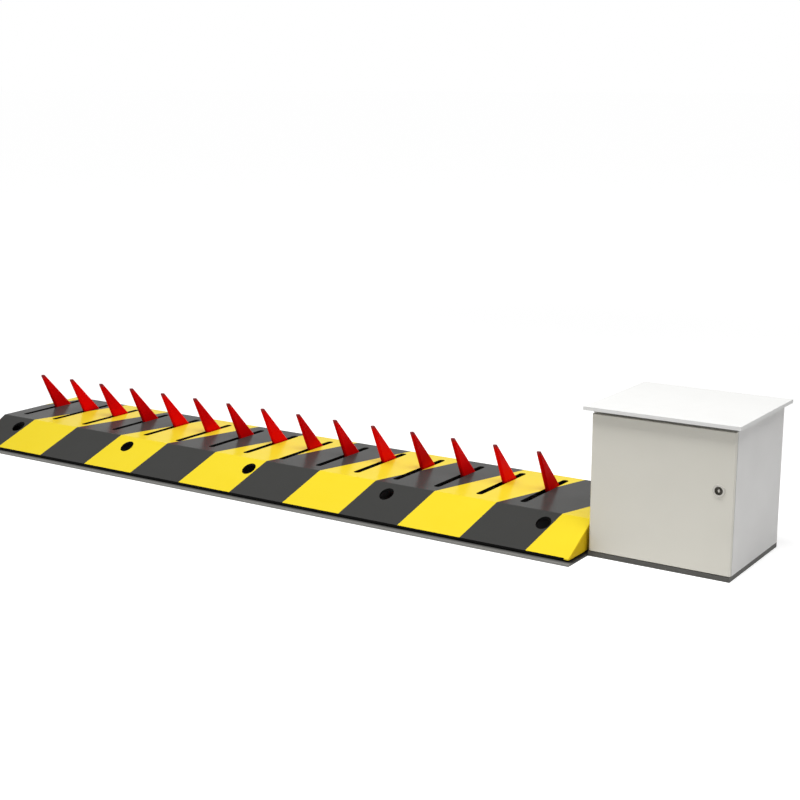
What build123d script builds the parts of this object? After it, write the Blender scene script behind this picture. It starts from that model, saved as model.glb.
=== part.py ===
from build123d import *
import math
import os

# Surface-mounted hydraulic spike barrier. A low ramped housing lies across a lane, a row of spikes on
# one shaft swings down through slots in its deck, and a cabinet at one end holds the hydraulic drive.
# Millimetres. +X runs along the barrier to the cabinet, +Y away from the traffic that meets the tips,
# +Z up from the road. The origin is on the road, under the middle of the whole object.

# Fits and clearances
FIT = 0.05
SEAT_GAP = 0.3

# Spike row and its shaft
SPIKE_COUNT = 15
SPIKE_PITCH = 200.0
SPIKE_LEAD = 84.0
SPIKE_TAIL = 344.0
SPIKE_THICK = 18.0
SPIKE_BEVEL = 5.0
SPIKE_HUB_R = 52.0
SPIKE_BOSS_R = 40.0
SPIKE_BOSS_LENGTH = 36.0
SPIKE_TIP_R = 8.0
SPIKE_TIP_FLAT = 4.0
SPIKE_TIP_FORWARD = 157.0
SPIKE_TIP_RISE = 230.0
SPIKE_FLOOR_GAP = 8.0
SHAFT_R = 25.0
PIVOT_Y = 101.0
RETRACT_DEG = 47.0

# Ramped housing
DECK_WIDTH = 488.0
DECK_TOP = 126.0
RAMP_RUN = 189.0
RAMP_FOOT = 22.0
SKIN = 8.0
FOLD_R = 12.0
SLOT_SIDE_GAP = 5.5
SLOT_FRONT_GAP = 7.0
SLOT_REAR_GAP = 41.0
BASE_THICK = 8.0
BASE_LIP = 24.4
END_THICK = 20.0
END_ROUND = 5.0
END_FOOT = 16.0
END_NOSE = 4.0
END_SETBACK = 8.0
END_LIP = 11.0
END_CAP = 4.0
SILL_SETBACK = 18.0
SILL_THICK = 12.0
RIB_THICK = 10.0
SPIKE_COUNT_PER_BAY = 3
RIB_COUNT = 4
RIB_HOLE_R = 28.0
RIB_HOLE_PITCH = 110.0
RIB_HOLE_COUNT = 3
BUSH_WALL = 6.0
BUSH_OVERHANG = 10.0
BUSH_FLANGE = 8.0
BUSH_FLANGE_THICK = 4.0
ANCHOR_COUNT = 5
ANCHOR_LEAD = 158.0
ANCHOR_TAIL = 190.0
ANCHOR_FROM_FOLD = 55.0
ANCHOR_HOLE_R = 11.0
ACCESS_R = 30.0

# Cabinet
CABINET_WIDTH = 555.0
CABINET_DEPTH = 493.0
CABINET_BEHIND_SHAFT = 91.0
PLINTH_HEIGHT = 19.0
PLINTH_FLOOR = 3.0
PLINTH_WALL = 4.0
CABINET_TOP = 574.0
SHEET = 2.0
WALL_RETURN = 18.0
ROOF_OVERHANG = 24.0
ROOF_LIP = 12.0
FRAME_WIDTH = 22.0
FRAME_DEPTH = 14.0
DOOR_DEPTH = 16.0
DOOR_GAP = 20.0
DOOR_SIDE_GAP = 1.5
DOOR_FOOT_GAP = 2.0
DOOR_LIP_GAP = 14.0
DOOR_COVER = 18.0
DOOR_BEND_R = 3.0
HINGE_INSET = 8.0
HINGE_FLANGE = 10.0
HINGE_RELIEF = 26.0
HINGE_PIN_R = 4.0
HINGE_PIN_LENGTH = 18.0
HINGE_BRACKET = 5.0
HINGE_LEG = 13.0
GASKET_THICK = 3.5
GASKET_WIDTH = 8.0
CABINET_ANCHOR_INSET = 40.0
CABINET_ANCHOR_FROM_FRONT = 60.0
CABINET_ANCHOR_FROM_BACK = 26.0
CABINET_ANCHOR_R = 7.0
CABLE_ENTRY_R = 16.0
CABLE_ENTRY_X = 160.0
CABLE_ENTRY_Y = 70.0

# Door lock
LOCK_FROM_RIGHT = 54.0
LOCK_HEIGHT = 331.0
LOCK_FLANGE_R = 23.5
LOCK_FLANGE_THICK = 4.0
LOCK_RECESS_R = 15.5
LOCK_RECESS_DEPTH = 8.0
LOCK_BARREL_R = 18.0
LOCK_BARREL_LENGTH = 30.0
LOCK_CORE_R = 11.0
LOCK_STUD_R = 4.0
LOCK_STUD_WINGS = 12.0
LOCK_WING_THICK = 3.0
LOCK_STUD_SINK = 1.5
LOCK_CAM_THICK = 4.0
LOCK_CAM_REACH = 40.0
LOCK_CAM_R = 10.0
LOCK_CAM_GAP = 4.0

# Crank and hydraulic cylinder
CRANK_OFFSET = 62.0
CRANK_THICK = 18.0
CRANK_RADIUS = 70.0
CRANK_HUB_R = 42.0
CRANK_END_R = 24.0
CRANK_PIN_R = 8.0
CRANK_PIN_HEAD_R = 12.0
CRANK_PIN_HEAD = 4.0
SHAFT_END_PAST_CRANK = 10.0
ROLLER_R = 15.0
ROLLER_WIDTH = 32.0
ROLLER_PLAY = 0.7
ROLLER_SIDE_GAP = 1.5
YOKE_WALL = 12.0
YOKE_END_GAP = 3.0
YOKE_BOSS_LENGTH = 20.0
ROD_R = 11.0
ROD_IN_YOKE = 18.0
PISTON_R = 22.5
PISTON_LENGTH = 24.0
STROKE_MARGIN = 6.0
BARREL_WALL = 5.5
CAP_SIDE = 64.0
CAP_CHAMFER = 8.0
GLAND_LENGTH = 30.0
BASE_CAP_LENGTH = 26.0
ROD_STANDOFF = 4.0
STAND_FLANGE = 8.0
STAND_FLANGE_MARGIN = 14.0
STAND_UPRIGHT = 12.0
STAND_WEB = 10.0

# Hydraulic power unit
TANK_FROM_LEFT = 186.0
TANK_WIDTH = 300.0
TANK_DEPTH = 220.0
TANK_BACK_ROOM = 49.0
TANK_HEIGHT = 213.0
TANK_WALL = 3.0
LID_THICK = 8.0
LID_MARGIN = 8.0
MOTOR_FROM_TANK_RIGHT = 85.0
MOTOR_R = 62.0
MOTOR_LENGTH = 155.0
FIN_COUNT = 20
FIN_HEIGHT = 8.0
FIN_THICK = 3.0
BELL_HEIGHT = 57.0
BELL_FLANGE = 10.0
BELL_FLANGE_THICK = 10.0
TERMINAL_SIDE = 70.0
TERMINAL_STAND = 38.0
MOTOR_SHAFT_R = 9.0
COWL_SHEET = 2.0
COWL_OVERLAP = 15.0
COWL_HEIGHT = 75.0
COWL_SLOT_COUNT = 12
COWL_SLOT_LENGTH = 34.0
COWL_SLOT_WIDTH = 7.0
COWL_SLOT_R = 40.0
FAN_HUB_R = 18.0
FAN_BLADE_COUNT = 7
FAN_BLADE_THICK = 3.0
FAN_HEIGHT = 26.0
FAN_TIP_GAP = 10.0
FAN_STANDOFF = 12.0
PUMP_SIDE = 80.0
PUMP_HEIGHT = 100.0
STRAINER_R = 30.0
STRAINER_HEIGHT = 60.0
VALVE_FROM_TANK_LEFT = 30.0
VALVE_WIDTH = 80.0
VALVE_DEPTH = 90.0
VALVE_HEIGHT = 90.0
VALVE_FROM_TANK_FRONT = 70.0
VALVE_CHAMFER = 4.0
SOLENOID_SIDE = 46.0
SOLENOID_HEIGHT = 46.0
SOLENOID_COIL_R = 21.0
SOLENOID_COIL_LENGTH = 60.0
SOLENOID_CAP_R = 8.0
SOLENOID_CAP_LENGTH = 10.0
GAUGE_R = 32.0
GAUGE_DEPTH = 30.0
GAUGE_STEM_R = 6.0
GAUGE_STEM_LENGTH = 25.0
GAUGE_DIAL_R = 28.0
GAUGE_DIAL_RECESS = 4.0
GAUGE_FROM_VALVE_LEFT = 55.0
GAUGE_RISE = 57.0
KNOB_R = 16.0
KNOB_LENGTH = 24.0
KNOB_STEM_R = 5.0
KNOB_STEM_LENGTH = 12.0
KNOB_STEM_SEAT = 10.0
KNOB_FLUTE_COUNT = 8
KNOB_FLUTE_R = 4.0
KNOB_FROM_VALVE_LEFT = 17.0
KNOB_RISE = 20.0
FILLER_R = 25.0
FILLER_NECK_R = 16.0
FILLER_NECK = 14.0
FILLER_HEIGHT = 26.0
FILLER_FROM_TANK_LEFT = 55.0
FILLER_FROM_TANK_BACK = 30.0
HOSE_R = 7.0
FERRULE_R = 10.0
FERRULE_LENGTH = 24.0
HOSE_BEND_R = 40.0
HOSE_RISE = 135.0
HOSE_LEAD_IN = 70.0
HOSE_PORT_SPACING = 40.0
HOSE_PORT_DROP = 32.0
CONTROL_BOX_WIDTH = 170.0
CONTROL_BOX_HEIGHT = 220.0
CONTROL_BOX_DEPTH = 80.0
CONTROL_BOX_FROM_LEFT = 27.0
CONTROL_BOX_FOOT = 300.0
CONTROL_BOX_ROUND = 6.0
CONTROL_LID_GROOVE = 1.5
CONTROL_LID_DEPTH = 22.0
GLAND_COUNT = 3
GLAND_R = 11.0
GLAND_HEIGHT = 18.0

# Places worked out from the sizes above
BARRIER_LENGTH = SPIKE_LEAD + (SPIKE_COUNT - 1) * SPIKE_PITCH + SPIKE_TAIL
OVERALL_LENGTH = BARRIER_LENGTH + CABINET_WIDTH + ROOF_OVERHANG
LEFT = -OVERALL_LENGTH / 2
RIGHT = LEFT + BARRIER_LENGTH
HOUSING_RIGHT = RIGHT - END_LIP
SPIKE_X = [LEFT + SPIKE_LEAD + i * SPIKE_PITCH for i in range(SPIKE_COUNT)]
DECK_HALF = DECK_WIDTH / 2
FOOT_HALF = DECK_HALF + RAMP_RUN
SLOPE = (DECK_TOP - RAMP_FOOT) / RAMP_RUN
SLOPE_ANGLE = math.atan(SLOPE)
SKIN_DROP = SKIN / math.cos(SLOPE_ANGLE)
MITRE = math.tan(SLOPE_ANGLE / 2)
DECK_UNDER = DECK_TOP - SKIN
END_TIP = END_FOOT + END_NOSE
END_HALF = DECK_HALF + (DECK_TOP - END_TIP) / SLOPE
BASE_HALF = END_HALF + BASE_LIP
SILL_HALF = FOOT_HALF - SILL_SETBACK
RIB_HALF = SILL_HALF - SILL_THICK
RIB_X = [SPIKE_X[SPIKE_COUNT_PER_BAY * (k + 1) - 1] + SPIKE_PITCH / 2 for k in range(RIB_COUNT)]
ANCHOR_PITCH = (BARRIER_LENGTH - ANCHOR_LEAD - ANCHOR_TAIL) / (ANCHOR_COUNT - 1)
ANCHOR_X = [LEFT + ANCHOR_LEAD + k * ANCHOR_PITCH for k in range(ANCHOR_COUNT)]
ANCHOR_Y = DECK_HALF + ANCHOR_FROM_FOLD
PIVOT_Z = BASE_THICK + SPIKE_FLOOR_GAP + SPIKE_HUB_R
BUSH_R = SHAFT_R + FIT + BUSH_WALL
TIP_SWEEP = math.hypot(SPIKE_TIP_FORWARD, SPIKE_TIP_RISE) + SPIKE_TIP_R
SLOT_FRONT = PIVOT_Y - math.sqrt(TIP_SWEEP**2 - (DECK_UNDER - PIVOT_Z) ** 2) - SLOT_FRONT_GAP
SLOT_BACK = PIVOT_Y + SPIKE_HUB_R + SLOT_REAR_GAP
SLOT_WIDTH = SPIKE_THICK + 2 * SLOT_SIDE_GAP

CABINET_LEFT = RIGHT
CABINET_RIGHT = CABINET_LEFT + CABINET_WIDTH
CABINET_BACK = PIVOT_Y + CABINET_BEHIND_SHAFT
CABINET_FRONT = CABINET_BACK - CABINET_DEPTH
BODY_FRONT = CABINET_FRONT + DOOR_GAP
ROOF_LIP_FOOT = CABINET_TOP - ROOF_LIP
DOOR_LEFT = CABINET_LEFT + DOOR_SIDE_GAP
DOOR_FOOT = PLINTH_HEIGHT + DOOR_FOOT_GAP
DOOR_TOP = ROOF_LIP_FOOT - DOOR_LIP_GAP
DOOR_BACK = CABINET_FRONT + DOOR_DEPTH
HINGE_X = DOOR_LEFT + HINGE_INSET
HINGE_Y = CABINET_FRONT + HINGE_INSET
FRAME_LEFT = CABINET_LEFT + SHEET
FRAME_RIGHT = CABINET_RIGHT - SHEET
WALL_RETURN_FOOT = CABINET_TOP - SHEET
FRAME_HEAD = DOOR_TOP - DOOR_COVER + FRAME_WIDTH
LOCK_X = CABINET_RIGHT - LOCK_FROM_RIGHT
CAM_FRONT = BODY_FRONT + FRAME_DEPTH + LOCK_CAM_GAP

CRANK_X = CABINET_LEFT + CRANK_OFFSET
CRANK_ANGLE = math.radians(RETRACT_DEG / 2)
PIN_Y = PIVOT_Y + CRANK_RADIUS * math.sin(CRANK_ANGLE)
PIN_Z = PIVOT_Z + CRANK_RADIUS * math.cos(CRANK_ANGLE)
PIN_TOP_Z = PIVOT_Z + CRANK_RADIUS
ROLLER_X0 = CRANK_X + CRANK_THICK / 2 + ROLLER_SIDE_GAP
ROLLER_X1 = ROLLER_X0 + ROLLER_WIDTH
ROD_X = (ROLLER_X0 + ROLLER_X1) / 2
ROD_Z = (PIN_Z + PIN_TOP_Z) / 2
STROKE = 2 * CRANK_RADIUS * math.sin(CRANK_ANGLE)
YOKE_SLOT_HALF = ROLLER_R + ROLLER_PLAY
YOKE_SLOT_HEIGHT = PIN_TOP_Z - PIN_Z + 2 * (ROLLER_R + YOKE_END_GAP)
YOKE_HALF = YOKE_SLOT_HALF + YOKE_WALL
YOKE_HEIGHT = YOKE_SLOT_HEIGHT + 2 * YOKE_WALL
YOKE_FACE = PIN_Y - YOKE_HALF - YOKE_BOSS_LENGTH
GLAND_FACE = YOKE_FACE - STROKE - ROD_STANDOFF
BORE_FRONT = GLAND_FACE - GLAND_LENGTH
BORE_BACK = BORE_FRONT - STROKE - PISTON_LENGTH - 2 * STROKE_MARGIN
CYLINDER_BACK = BORE_BACK - BASE_CAP_LENGTH
BARREL_R = PISTON_R + FIT + BARREL_WALL
CAP_TOP = ROD_Z + CAP_SIDE / 2

TANK_LEFT = CABINET_LEFT + TANK_FROM_LEFT
TANK_RIGHT = TANK_LEFT + TANK_WIDTH
TANK_BACK = CABINET_BACK - TANK_BACK_ROOM
TANK_FRONT = TANK_BACK - TANK_DEPTH
TANK_TOP = PLINTH_HEIGHT + TANK_HEIGHT
LID_TOP = TANK_TOP + LID_THICK
MOTOR_X = TANK_RIGHT - MOTOR_FROM_TANK_RIGHT
MOTOR_Y = (TANK_FRONT + TANK_BACK) / 2
BELL_TOP = LID_TOP + BELL_HEIGHT
MOTOR_TOP = BELL_TOP + MOTOR_LENGTH
FIN_R = MOTOR_R + FIN_HEIGHT
COWL_FOOT = MOTOR_TOP - COWL_OVERLAP
COWL_TOP = COWL_FOOT + COWL_HEIGHT
FAN_FOOT = MOTOR_TOP + FAN_STANDOFF
FAN_TOP = FAN_FOOT + FAN_HEIGHT
FAN_R = FIN_R - FAN_TIP_GAP
VALVE_LEFT = TANK_LEFT + VALVE_FROM_TANK_LEFT
VALVE_TOP = LID_TOP + VALVE_HEIGHT
VALVE_FRONT = TANK_FRONT + VALVE_FROM_TANK_FRONT
VALVE_MID_X = VALVE_LEFT + VALVE_WIDTH / 2
VALVE_MID_Y = VALVE_FRONT + VALVE_DEPTH / 2
CONTROL_BOX_LEFT = CABINET_LEFT + CONTROL_BOX_FROM_LEFT
CONTROL_BOX_BACK = CABINET_BACK - SHEET


def block(x0, x1, y0, y1, z0, z1):
    """Box between two opposite corners."""
    return Pos((x0 + x1) / 2, (y0 + y1) / 2, (z0 + z1) / 2) * Box(x1 - x0, y1 - y0, z1 - z0)


def along_x(section, x0, x1):
    """Solid of a section drawn in Y across and Z up, from x0 to x1."""
    return extrude(Plane.YZ.offset(x0) * section, x1 - x0)


def along_y(section, y0, y1):
    """Solid of a section drawn in X across and Z up, from y0 to y1."""
    return extrude(Plane.XZ.offset(-y1) * section, y1 - y0)


def along_z(section, z0, z1):
    """Solid of a section drawn in X and Y, from z0 to z1."""
    return extrude(Plane.XY.offset(z0) * section, z1 - z0)


def disc(radius, across, up):
    """Round section at a place in its drawing plane."""
    return Pos(across, up) * Circle(radius)


def outline(*points):
    """Flat face inside a closed run of straight lines."""
    return make_face(Polyline(*points, close=True))


def hull_of(first, second):
    """Flat face inside the tightest loop round two circles."""
    return make_hull([*first.edges(), *second.edges()])


# Ramped housing


def skin_under(y):
    """Height of the ramp plate's underside at a distance from the middle."""
    return DECK_TOP - SLOPE * (y - DECK_HALF) - SKIN_DROP


def cover_sections():
    """Sections of the deck and of the front and rear ramps, cut at the folds."""
    inner = DECK_HALF - SKIN * MITRE
    cover = outline(
        (-FOOT_HALF, RAMP_FOOT),
        (-DECK_HALF, DECK_TOP),
        (DECK_HALF, DECK_TOP),
        (FOOT_HALF, RAMP_FOOT),
        (FOOT_HALF, RAMP_FOOT - SKIN_DROP),
        (inner, DECK_UNDER),
        (-inner, DECK_UNDER),
        (-FOOT_HALF, RAMP_FOOT - SKIN_DROP),
    )
    cover = fillet(cover.vertices().group_by(Axis.Y)[-1], FOLD_R)
    reach = 2 * SKIN
    wide = DECK_HALF + SKIN * MITRE
    narrow = DECK_HALF - reach * MITRE
    between_folds = outline(
        (-wide, DECK_TOP + SKIN),
        (wide, DECK_TOP + SKIN),
        (narrow, DECK_TOP - reach),
        (-narrow, DECK_TOP - reach),
    )
    front, rear = (cover - between_folds).faces().sort_by(Axis.X)
    return cover & between_folds, front, rear


def deck_plate(section):
    """Flat top plate with one long slot for each spike."""
    plate = along_x(section, LEFT + END_THICK, HOUSING_RIGHT - END_THICK)
    slot = SlotOverall(SLOT_BACK - SLOT_FRONT, SLOT_WIDTH, rotation=90)
    middle = (SLOT_FRONT + SLOT_BACK) / 2
    return plate - [along_z(Pos(x, middle) * slot, DECK_UNDER - SKIN, DECK_TOP + SKIN) for x in SPIKE_X]


def ramp_plate(section, side):
    """Sloping plate with upright access holes over the road anchors."""
    plate = along_x(section, LEFT + END_THICK, HOUSING_RIGHT - END_THICK)
    return plate - [along_z(disc(ACCESS_R, x, side * ANCHOR_Y), 0, DECK_TOP) for x in ANCHOR_X]


def base_plate():
    """Road plate with the anchor holes."""
    plate = block(LEFT, RIGHT, -BASE_HALF, BASE_HALF, 0, BASE_THICK)
    places = [(x, side * ANCHOR_Y) for x in ANCHOR_X for side in (-1, 1)]
    return plate - [along_z(disc(ANCHOR_HOLE_R, x, y), -BASE_THICK, 2 * BASE_THICK) for x, y in places]


def end_plate(outer, inward, bore_x0, bore_x1):
    """End plate of the housing's section, rounded on its outer rim, with a set-back foot and a bush seat."""
    section = outline(
        (-END_HALF, END_FOOT),
        (-END_HALF, END_TIP),
        (-DECK_HALF, DECK_TOP),
        (DECK_HALF, DECK_TOP),
        (END_HALF, END_TIP),
        (END_HALF, END_FOOT),
    )
    inner = outer + inward * END_THICK
    plate = along_x(section, min(outer, inner), max(outer, inner))
    rim = plate.faces().sort_by(Axis((0, 0, 0), (inward, 0, 0)))[0].edges().sort_by(Axis.Z)[1:]
    plate = fillet(rim, END_ROUND)
    foot = sorted((outer + inward * END_SETBACK, inner))
    plate += block(*foot, -SILL_HALF, SILL_HALF, BASE_THICK, END_FOOT)
    return plate - along_x(disc(BUSH_R, PIVOT_Y, PIVOT_Z), bore_x0, bore_x1)


def sill(side):
    """Bar on the road plate that carries the lower edge of a ramp."""
    section = outline(
        (side * SILL_HALF, BASE_THICK),
        (side * SILL_HALF, skin_under(SILL_HALF)),
        (side * RIB_HALF, skin_under(RIB_HALF)),
        (side * RIB_HALF, BASE_THICK),
    )
    return along_x(section, LEFT + END_THICK, HOUSING_RIGHT - END_THICK)


def rib(x):
    """Cross plate that carries the deck and one shaft bush, with lightening holes."""
    inner = DECK_HALF - SKIN * MITRE
    section = outline(
        (-RIB_HALF, BASE_THICK),
        (-RIB_HALF, skin_under(RIB_HALF)),
        (-inner, DECK_UNDER),
        (inner, DECK_UNDER),
        (RIB_HALF, skin_under(RIB_HALF)),
        (RIB_HALF, BASE_THICK),
    )
    section -= disc(BUSH_R, PIVOT_Y, PIVOT_Z)
    middle = (BASE_THICK + DECK_UNDER) / 2
    for k in range(RIB_HOLE_COUNT):
        section -= disc(RIB_HOLE_R, PIVOT_Y - (k + 1) * RIB_HOLE_PITCH, middle)
    return along_x(section, x - RIB_THICK / 2, x + RIB_THICK / 2)


def bush(x0, x1, flange_x):
    """Bronze bush with a flange against its plate."""
    body = along_x(disc(BUSH_R, PIVOT_Y, PIVOT_Z), x0, x1)
    body += along_x(disc(BUSH_R + BUSH_FLANGE, PIVOT_Y, PIVOT_Z), flange_x, flange_x + BUSH_FLANGE_THICK)
    return body - along_x(disc(SHAFT_R + FIT, PIVOT_Y, PIVOT_Z), x0 - END_THICK, x1 + END_THICK)


def shaft_bushes():
    """One bush in each rib and in each end plate."""
    half = RIB_THICK / 2
    bushes = [bush(x - half - BUSH_OVERHANG, x + half + BUSH_OVERHANG, x + half) for x in RIB_X]
    bushes.append(bush(LEFT + END_CAP, LEFT + END_THICK + BUSH_OVERHANG, LEFT + END_THICK))
    inside = HOUSING_RIGHT - END_THICK
    bushes.append(bush(inside - BUSH_OVERHANG, RIGHT, inside - BUSH_FLANGE_THICK))
    return bushes


# Spike row


def spike_shaft():
    """Round bar that carries the spikes and ends in the cabinet."""
    end = CRANK_X + CRANK_THICK / 2 + SHAFT_END_PAST_CRANK
    return along_x(disc(SHAFT_R, PIVOT_Y, PIVOT_Z), LEFT + END_CAP, end)


def spike_pattern():
    """One spike about its own shaft axis, raised: a bevelled blade drawn from its hub to a flat tip."""
    tip = disc(SPIKE_TIP_R, -SPIKE_TIP_FORWARD, SPIKE_TIP_RISE)
    blade = along_x(hull_of(Circle(SPIKE_HUB_R), tip), -SPIKE_THICK / 2, SPIKE_THICK / 2)
    above = SPIKE_TIP_RISE + SPIKE_TIP_FLAT
    blade -= block(-SPIKE_THICK, SPIKE_THICK, -TIP_SWEEP, 0, above, TIP_SWEEP)
    flanks = blade.edges().filter_by(GeomType.LINE).sort_by(SortBy.LENGTH)[-4:]
    blade = chamfer(flanks, SPIKE_BEVEL)
    blade += along_x(Circle(SPIKE_BOSS_R), -SPIKE_BOSS_LENGTH / 2, SPIKE_BOSS_LENGTH / 2)
    return blade - along_x(Circle(SHAFT_R + FIT), -SPIKE_BOSS_LENGTH, SPIKE_BOSS_LENGTH)


def crank_arm():
    """Arm on the shaft's end, with the pin that the roller turns on."""
    arm = hull_of(disc(CRANK_HUB_R, PIVOT_Y, PIVOT_Z), disc(CRANK_END_R, PIN_Y, PIN_Z))
    x0 = CRANK_X - CRANK_THICK / 2
    x1 = CRANK_X + CRANK_THICK / 2
    body = along_x(arm, x0, x1) - along_x(disc(SHAFT_R + FIT, PIVOT_Y, PIVOT_Z), x0, x1)
    head = ROLLER_X1 + SEAT_GAP
    body += along_x(disc(CRANK_PIN_R, PIN_Y, PIN_Z), CRANK_X, head)
    return body + along_x(disc(CRANK_PIN_HEAD_R, PIN_Y, PIN_Z), head, head + CRANK_PIN_HEAD)


def crank_roller():
    """Roller between the crank pin and the yoke."""
    ring = disc(ROLLER_R, PIN_Y, PIN_Z) - disc(CRANK_PIN_R + FIT, PIN_Y, PIN_Z)
    return along_x(ring, ROLLER_X0, ROLLER_X1)


# Hydraulic cylinder


def rod_yoke():
    """Slotted head on the piston rod, in which the crank's roller slides up and down."""
    head = block(
        ROLLER_X0,
        ROLLER_X1,
        PIN_Y - YOKE_HALF,
        PIN_Y + YOKE_HALF,
        ROD_Z - YOKE_HEIGHT / 2,
        ROD_Z + YOKE_HEIGHT / 2,
    )
    slot = Pos(PIN_Y, ROD_Z) * SlotOverall(YOKE_SLOT_HEIGHT, 2 * YOKE_SLOT_HALF, rotation=90)
    head -= along_x(slot, ROLLER_X0 - ROLLER_WIDTH, ROLLER_X1 + ROLLER_WIDTH)
    head += along_y(disc(ROLLER_WIDTH / 2, ROD_X, ROD_Z), YOKE_FACE, PIN_Y - YOKE_HALF)
    return head - along_y(disc(ROD_R + FIT, ROD_X, ROD_Z), YOKE_FACE, YOKE_FACE + ROD_IN_YOKE)


def piston_rod():
    """Rod with its piston, drawn out to the raised position of the spikes."""
    piston_front = BORE_FRONT - STROKE_MARGIN
    piston = along_y(disc(PISTON_R, ROD_X, ROD_Z), piston_front - PISTON_LENGTH, piston_front)
    return piston + along_y(disc(ROD_R, ROD_X, ROD_Z), piston_front, YOKE_FACE + ROD_IN_YOKE)


def cylinder_cap(y0, y1):
    """Square end of the cylinder with its long corners cut."""
    cap = block(ROD_X - CAP_SIDE / 2, ROD_X + CAP_SIDE / 2, y0, y1, ROD_Z - CAP_SIDE / 2, CAP_TOP)
    return chamfer(cap.edges().filter_by(Axis.Y), CAP_CHAMFER)


def cylinder_body():
    """Barrel between two square ends, bored for the piston and the rod."""
    body = along_y(disc(BARREL_R, ROD_X, ROD_Z), BORE_BACK, BORE_FRONT)
    body += cylinder_cap(BORE_FRONT, GLAND_FACE)
    body += cylinder_cap(CYLINDER_BACK, BORE_BACK)
    body -= along_y(disc(PISTON_R + FIT, ROD_X, ROD_Z), BORE_BACK, BORE_FRONT)
    return body - along_y(disc(ROD_R + FIT, ROD_X, ROD_Z), BORE_FRONT, GLAND_FACE)


def cylinder_stand():
    """Bracket that holds both ends of the cylinder above the cabinet floor."""
    half = CAP_SIDE / 2
    foot = PLINTH_HEIGHT
    top = ROD_Z - half
    stand = block(
        ROD_X - half,
        ROD_X + half,
        CYLINDER_BACK - STAND_FLANGE_MARGIN,
        GLAND_FACE + STAND_FLANGE_MARGIN,
        foot,
        foot + STAND_FLANGE,
    )
    places = ((CYLINDER_BACK + BORE_BACK) / 2, (BORE_FRONT + GLAND_FACE) / 2)
    for y in places:
        y0 = y - STAND_UPRIGHT / 2
        seat = half - CAP_CHAMFER
        stand += block(ROD_X - seat, ROD_X + seat, y0, y0 + STAND_UPRIGHT, foot, top)
    web_top = (foot + top) / 2
    return stand + block(ROD_X - STAND_WEB / 2, ROD_X + STAND_WEB / 2, *places, foot, web_top)


# Cabinet


def cabinet_base():
    """Plinth and floor in one: an upside-down tray with anchor holes and a cable entry."""
    tray = block(CABINET_LEFT, CABINET_RIGHT, CABINET_FRONT, CABINET_BACK, 0, PLINTH_HEIGHT)
    tray -= block(
        CABINET_LEFT + PLINTH_WALL,
        CABINET_RIGHT - PLINTH_WALL,
        CABINET_FRONT + PLINTH_WALL,
        CABINET_BACK - PLINTH_WALL,
        -PLINTH_HEIGHT,
        PLINTH_HEIGHT - PLINTH_FLOOR,
    )
    left = CABINET_LEFT + CABINET_ANCHOR_INSET
    right = CABINET_RIGHT - CABINET_ANCHOR_INSET
    front = CABINET_FRONT + CABINET_ANCHOR_FROM_FRONT
    back = CABINET_BACK - CABINET_ANCHOR_FROM_BACK
    for x, y in ((left, front), (right, front), (left, back), (right, back)):
        tray -= along_z(disc(CABINET_ANCHOR_R, x, y), 0, 2 * PLINTH_HEIGHT)
    entry = disc(CABLE_ENTRY_R, CABINET_LEFT + CABLE_ENTRY_X, CABINET_BACK - CABLE_ENTRY_Y)
    return tray - along_z(entry, 0, 2 * PLINTH_HEIGHT)


def side_wall(outer, inward):
    """Folded side sheet with a rear and a top return; inward is +1 or -1 along X."""
    inner = outer + inward * SHEET
    turned = outer + inward * WALL_RETURN
    x0, x1 = sorted((outer, inner))
    wall = block(x0, x1, BODY_FRONT, CABINET_BACK, PLINTH_HEIGHT, CABINET_TOP)
    x0, x1 = sorted((outer, turned))
    back = CABINET_BACK - SHEET
    wall += block(x0, x1, back - SHEET, back, PLINTH_HEIGHT, CABINET_TOP)
    return wall + block(x0, x1, BODY_FRONT + FRAME_DEPTH, back, WALL_RETURN_FOOT, CABINET_TOP)


def left_wall():
    """Wall against the barrier's end plate, with the hole that the shaft passes through."""
    wall = side_wall(CABINET_LEFT, 1)
    hole = disc(BUSH_R, PIVOT_Y, PIVOT_Z)
    wall -= along_x(hole, CABINET_LEFT - SHEET, CABINET_LEFT + 2 * SHEET)
    return wall - block(CABINET_LEFT, CABINET_LEFT + SHEET, *back_seat(), PLINTH_HEIGHT, CABINET_TOP)


def right_wall():
    """Plain outer wall."""
    wall = side_wall(CABINET_RIGHT, -1)
    return wall - block(CABINET_RIGHT - SHEET, CABINET_RIGHT, *back_seat(), PLINTH_HEIGHT, CABINET_TOP)


def back_seat():
    """Depth of the seat in which the back panel lies flush."""
    return CABINET_BACK - SHEET, CABINET_BACK


def back_wall():
    """Flat back panel on the returns of the side walls."""
    return block(CABINET_LEFT, CABINET_RIGHT, *back_seat(), PLINTH_HEIGHT, CABINET_TOP)


def cabinet_roof():
    """Flat roof pan that overhangs every wall, with a turned-down lip."""
    x0 = CABINET_LEFT - ROOF_OVERHANG
    x1 = CABINET_RIGHT + ROOF_OVERHANG
    y0 = CABINET_FRONT - ROOF_OVERHANG
    y1 = CABINET_BACK + ROOF_OVERHANG
    pan = block(x0, x1, y0, y1, ROOF_LIP_FOOT, CABINET_TOP + SHEET)
    pan = fillet(pan.edges().group_by(Axis.Z)[-1], SHEET / 2)
    inside = block(x0 + SHEET, x1 - SHEET, y0 + SHEET, y1 - SHEET, ROOF_LIP_FOOT - ROOF_LIP, CABINET_TOP)
    return pan - inside


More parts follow.
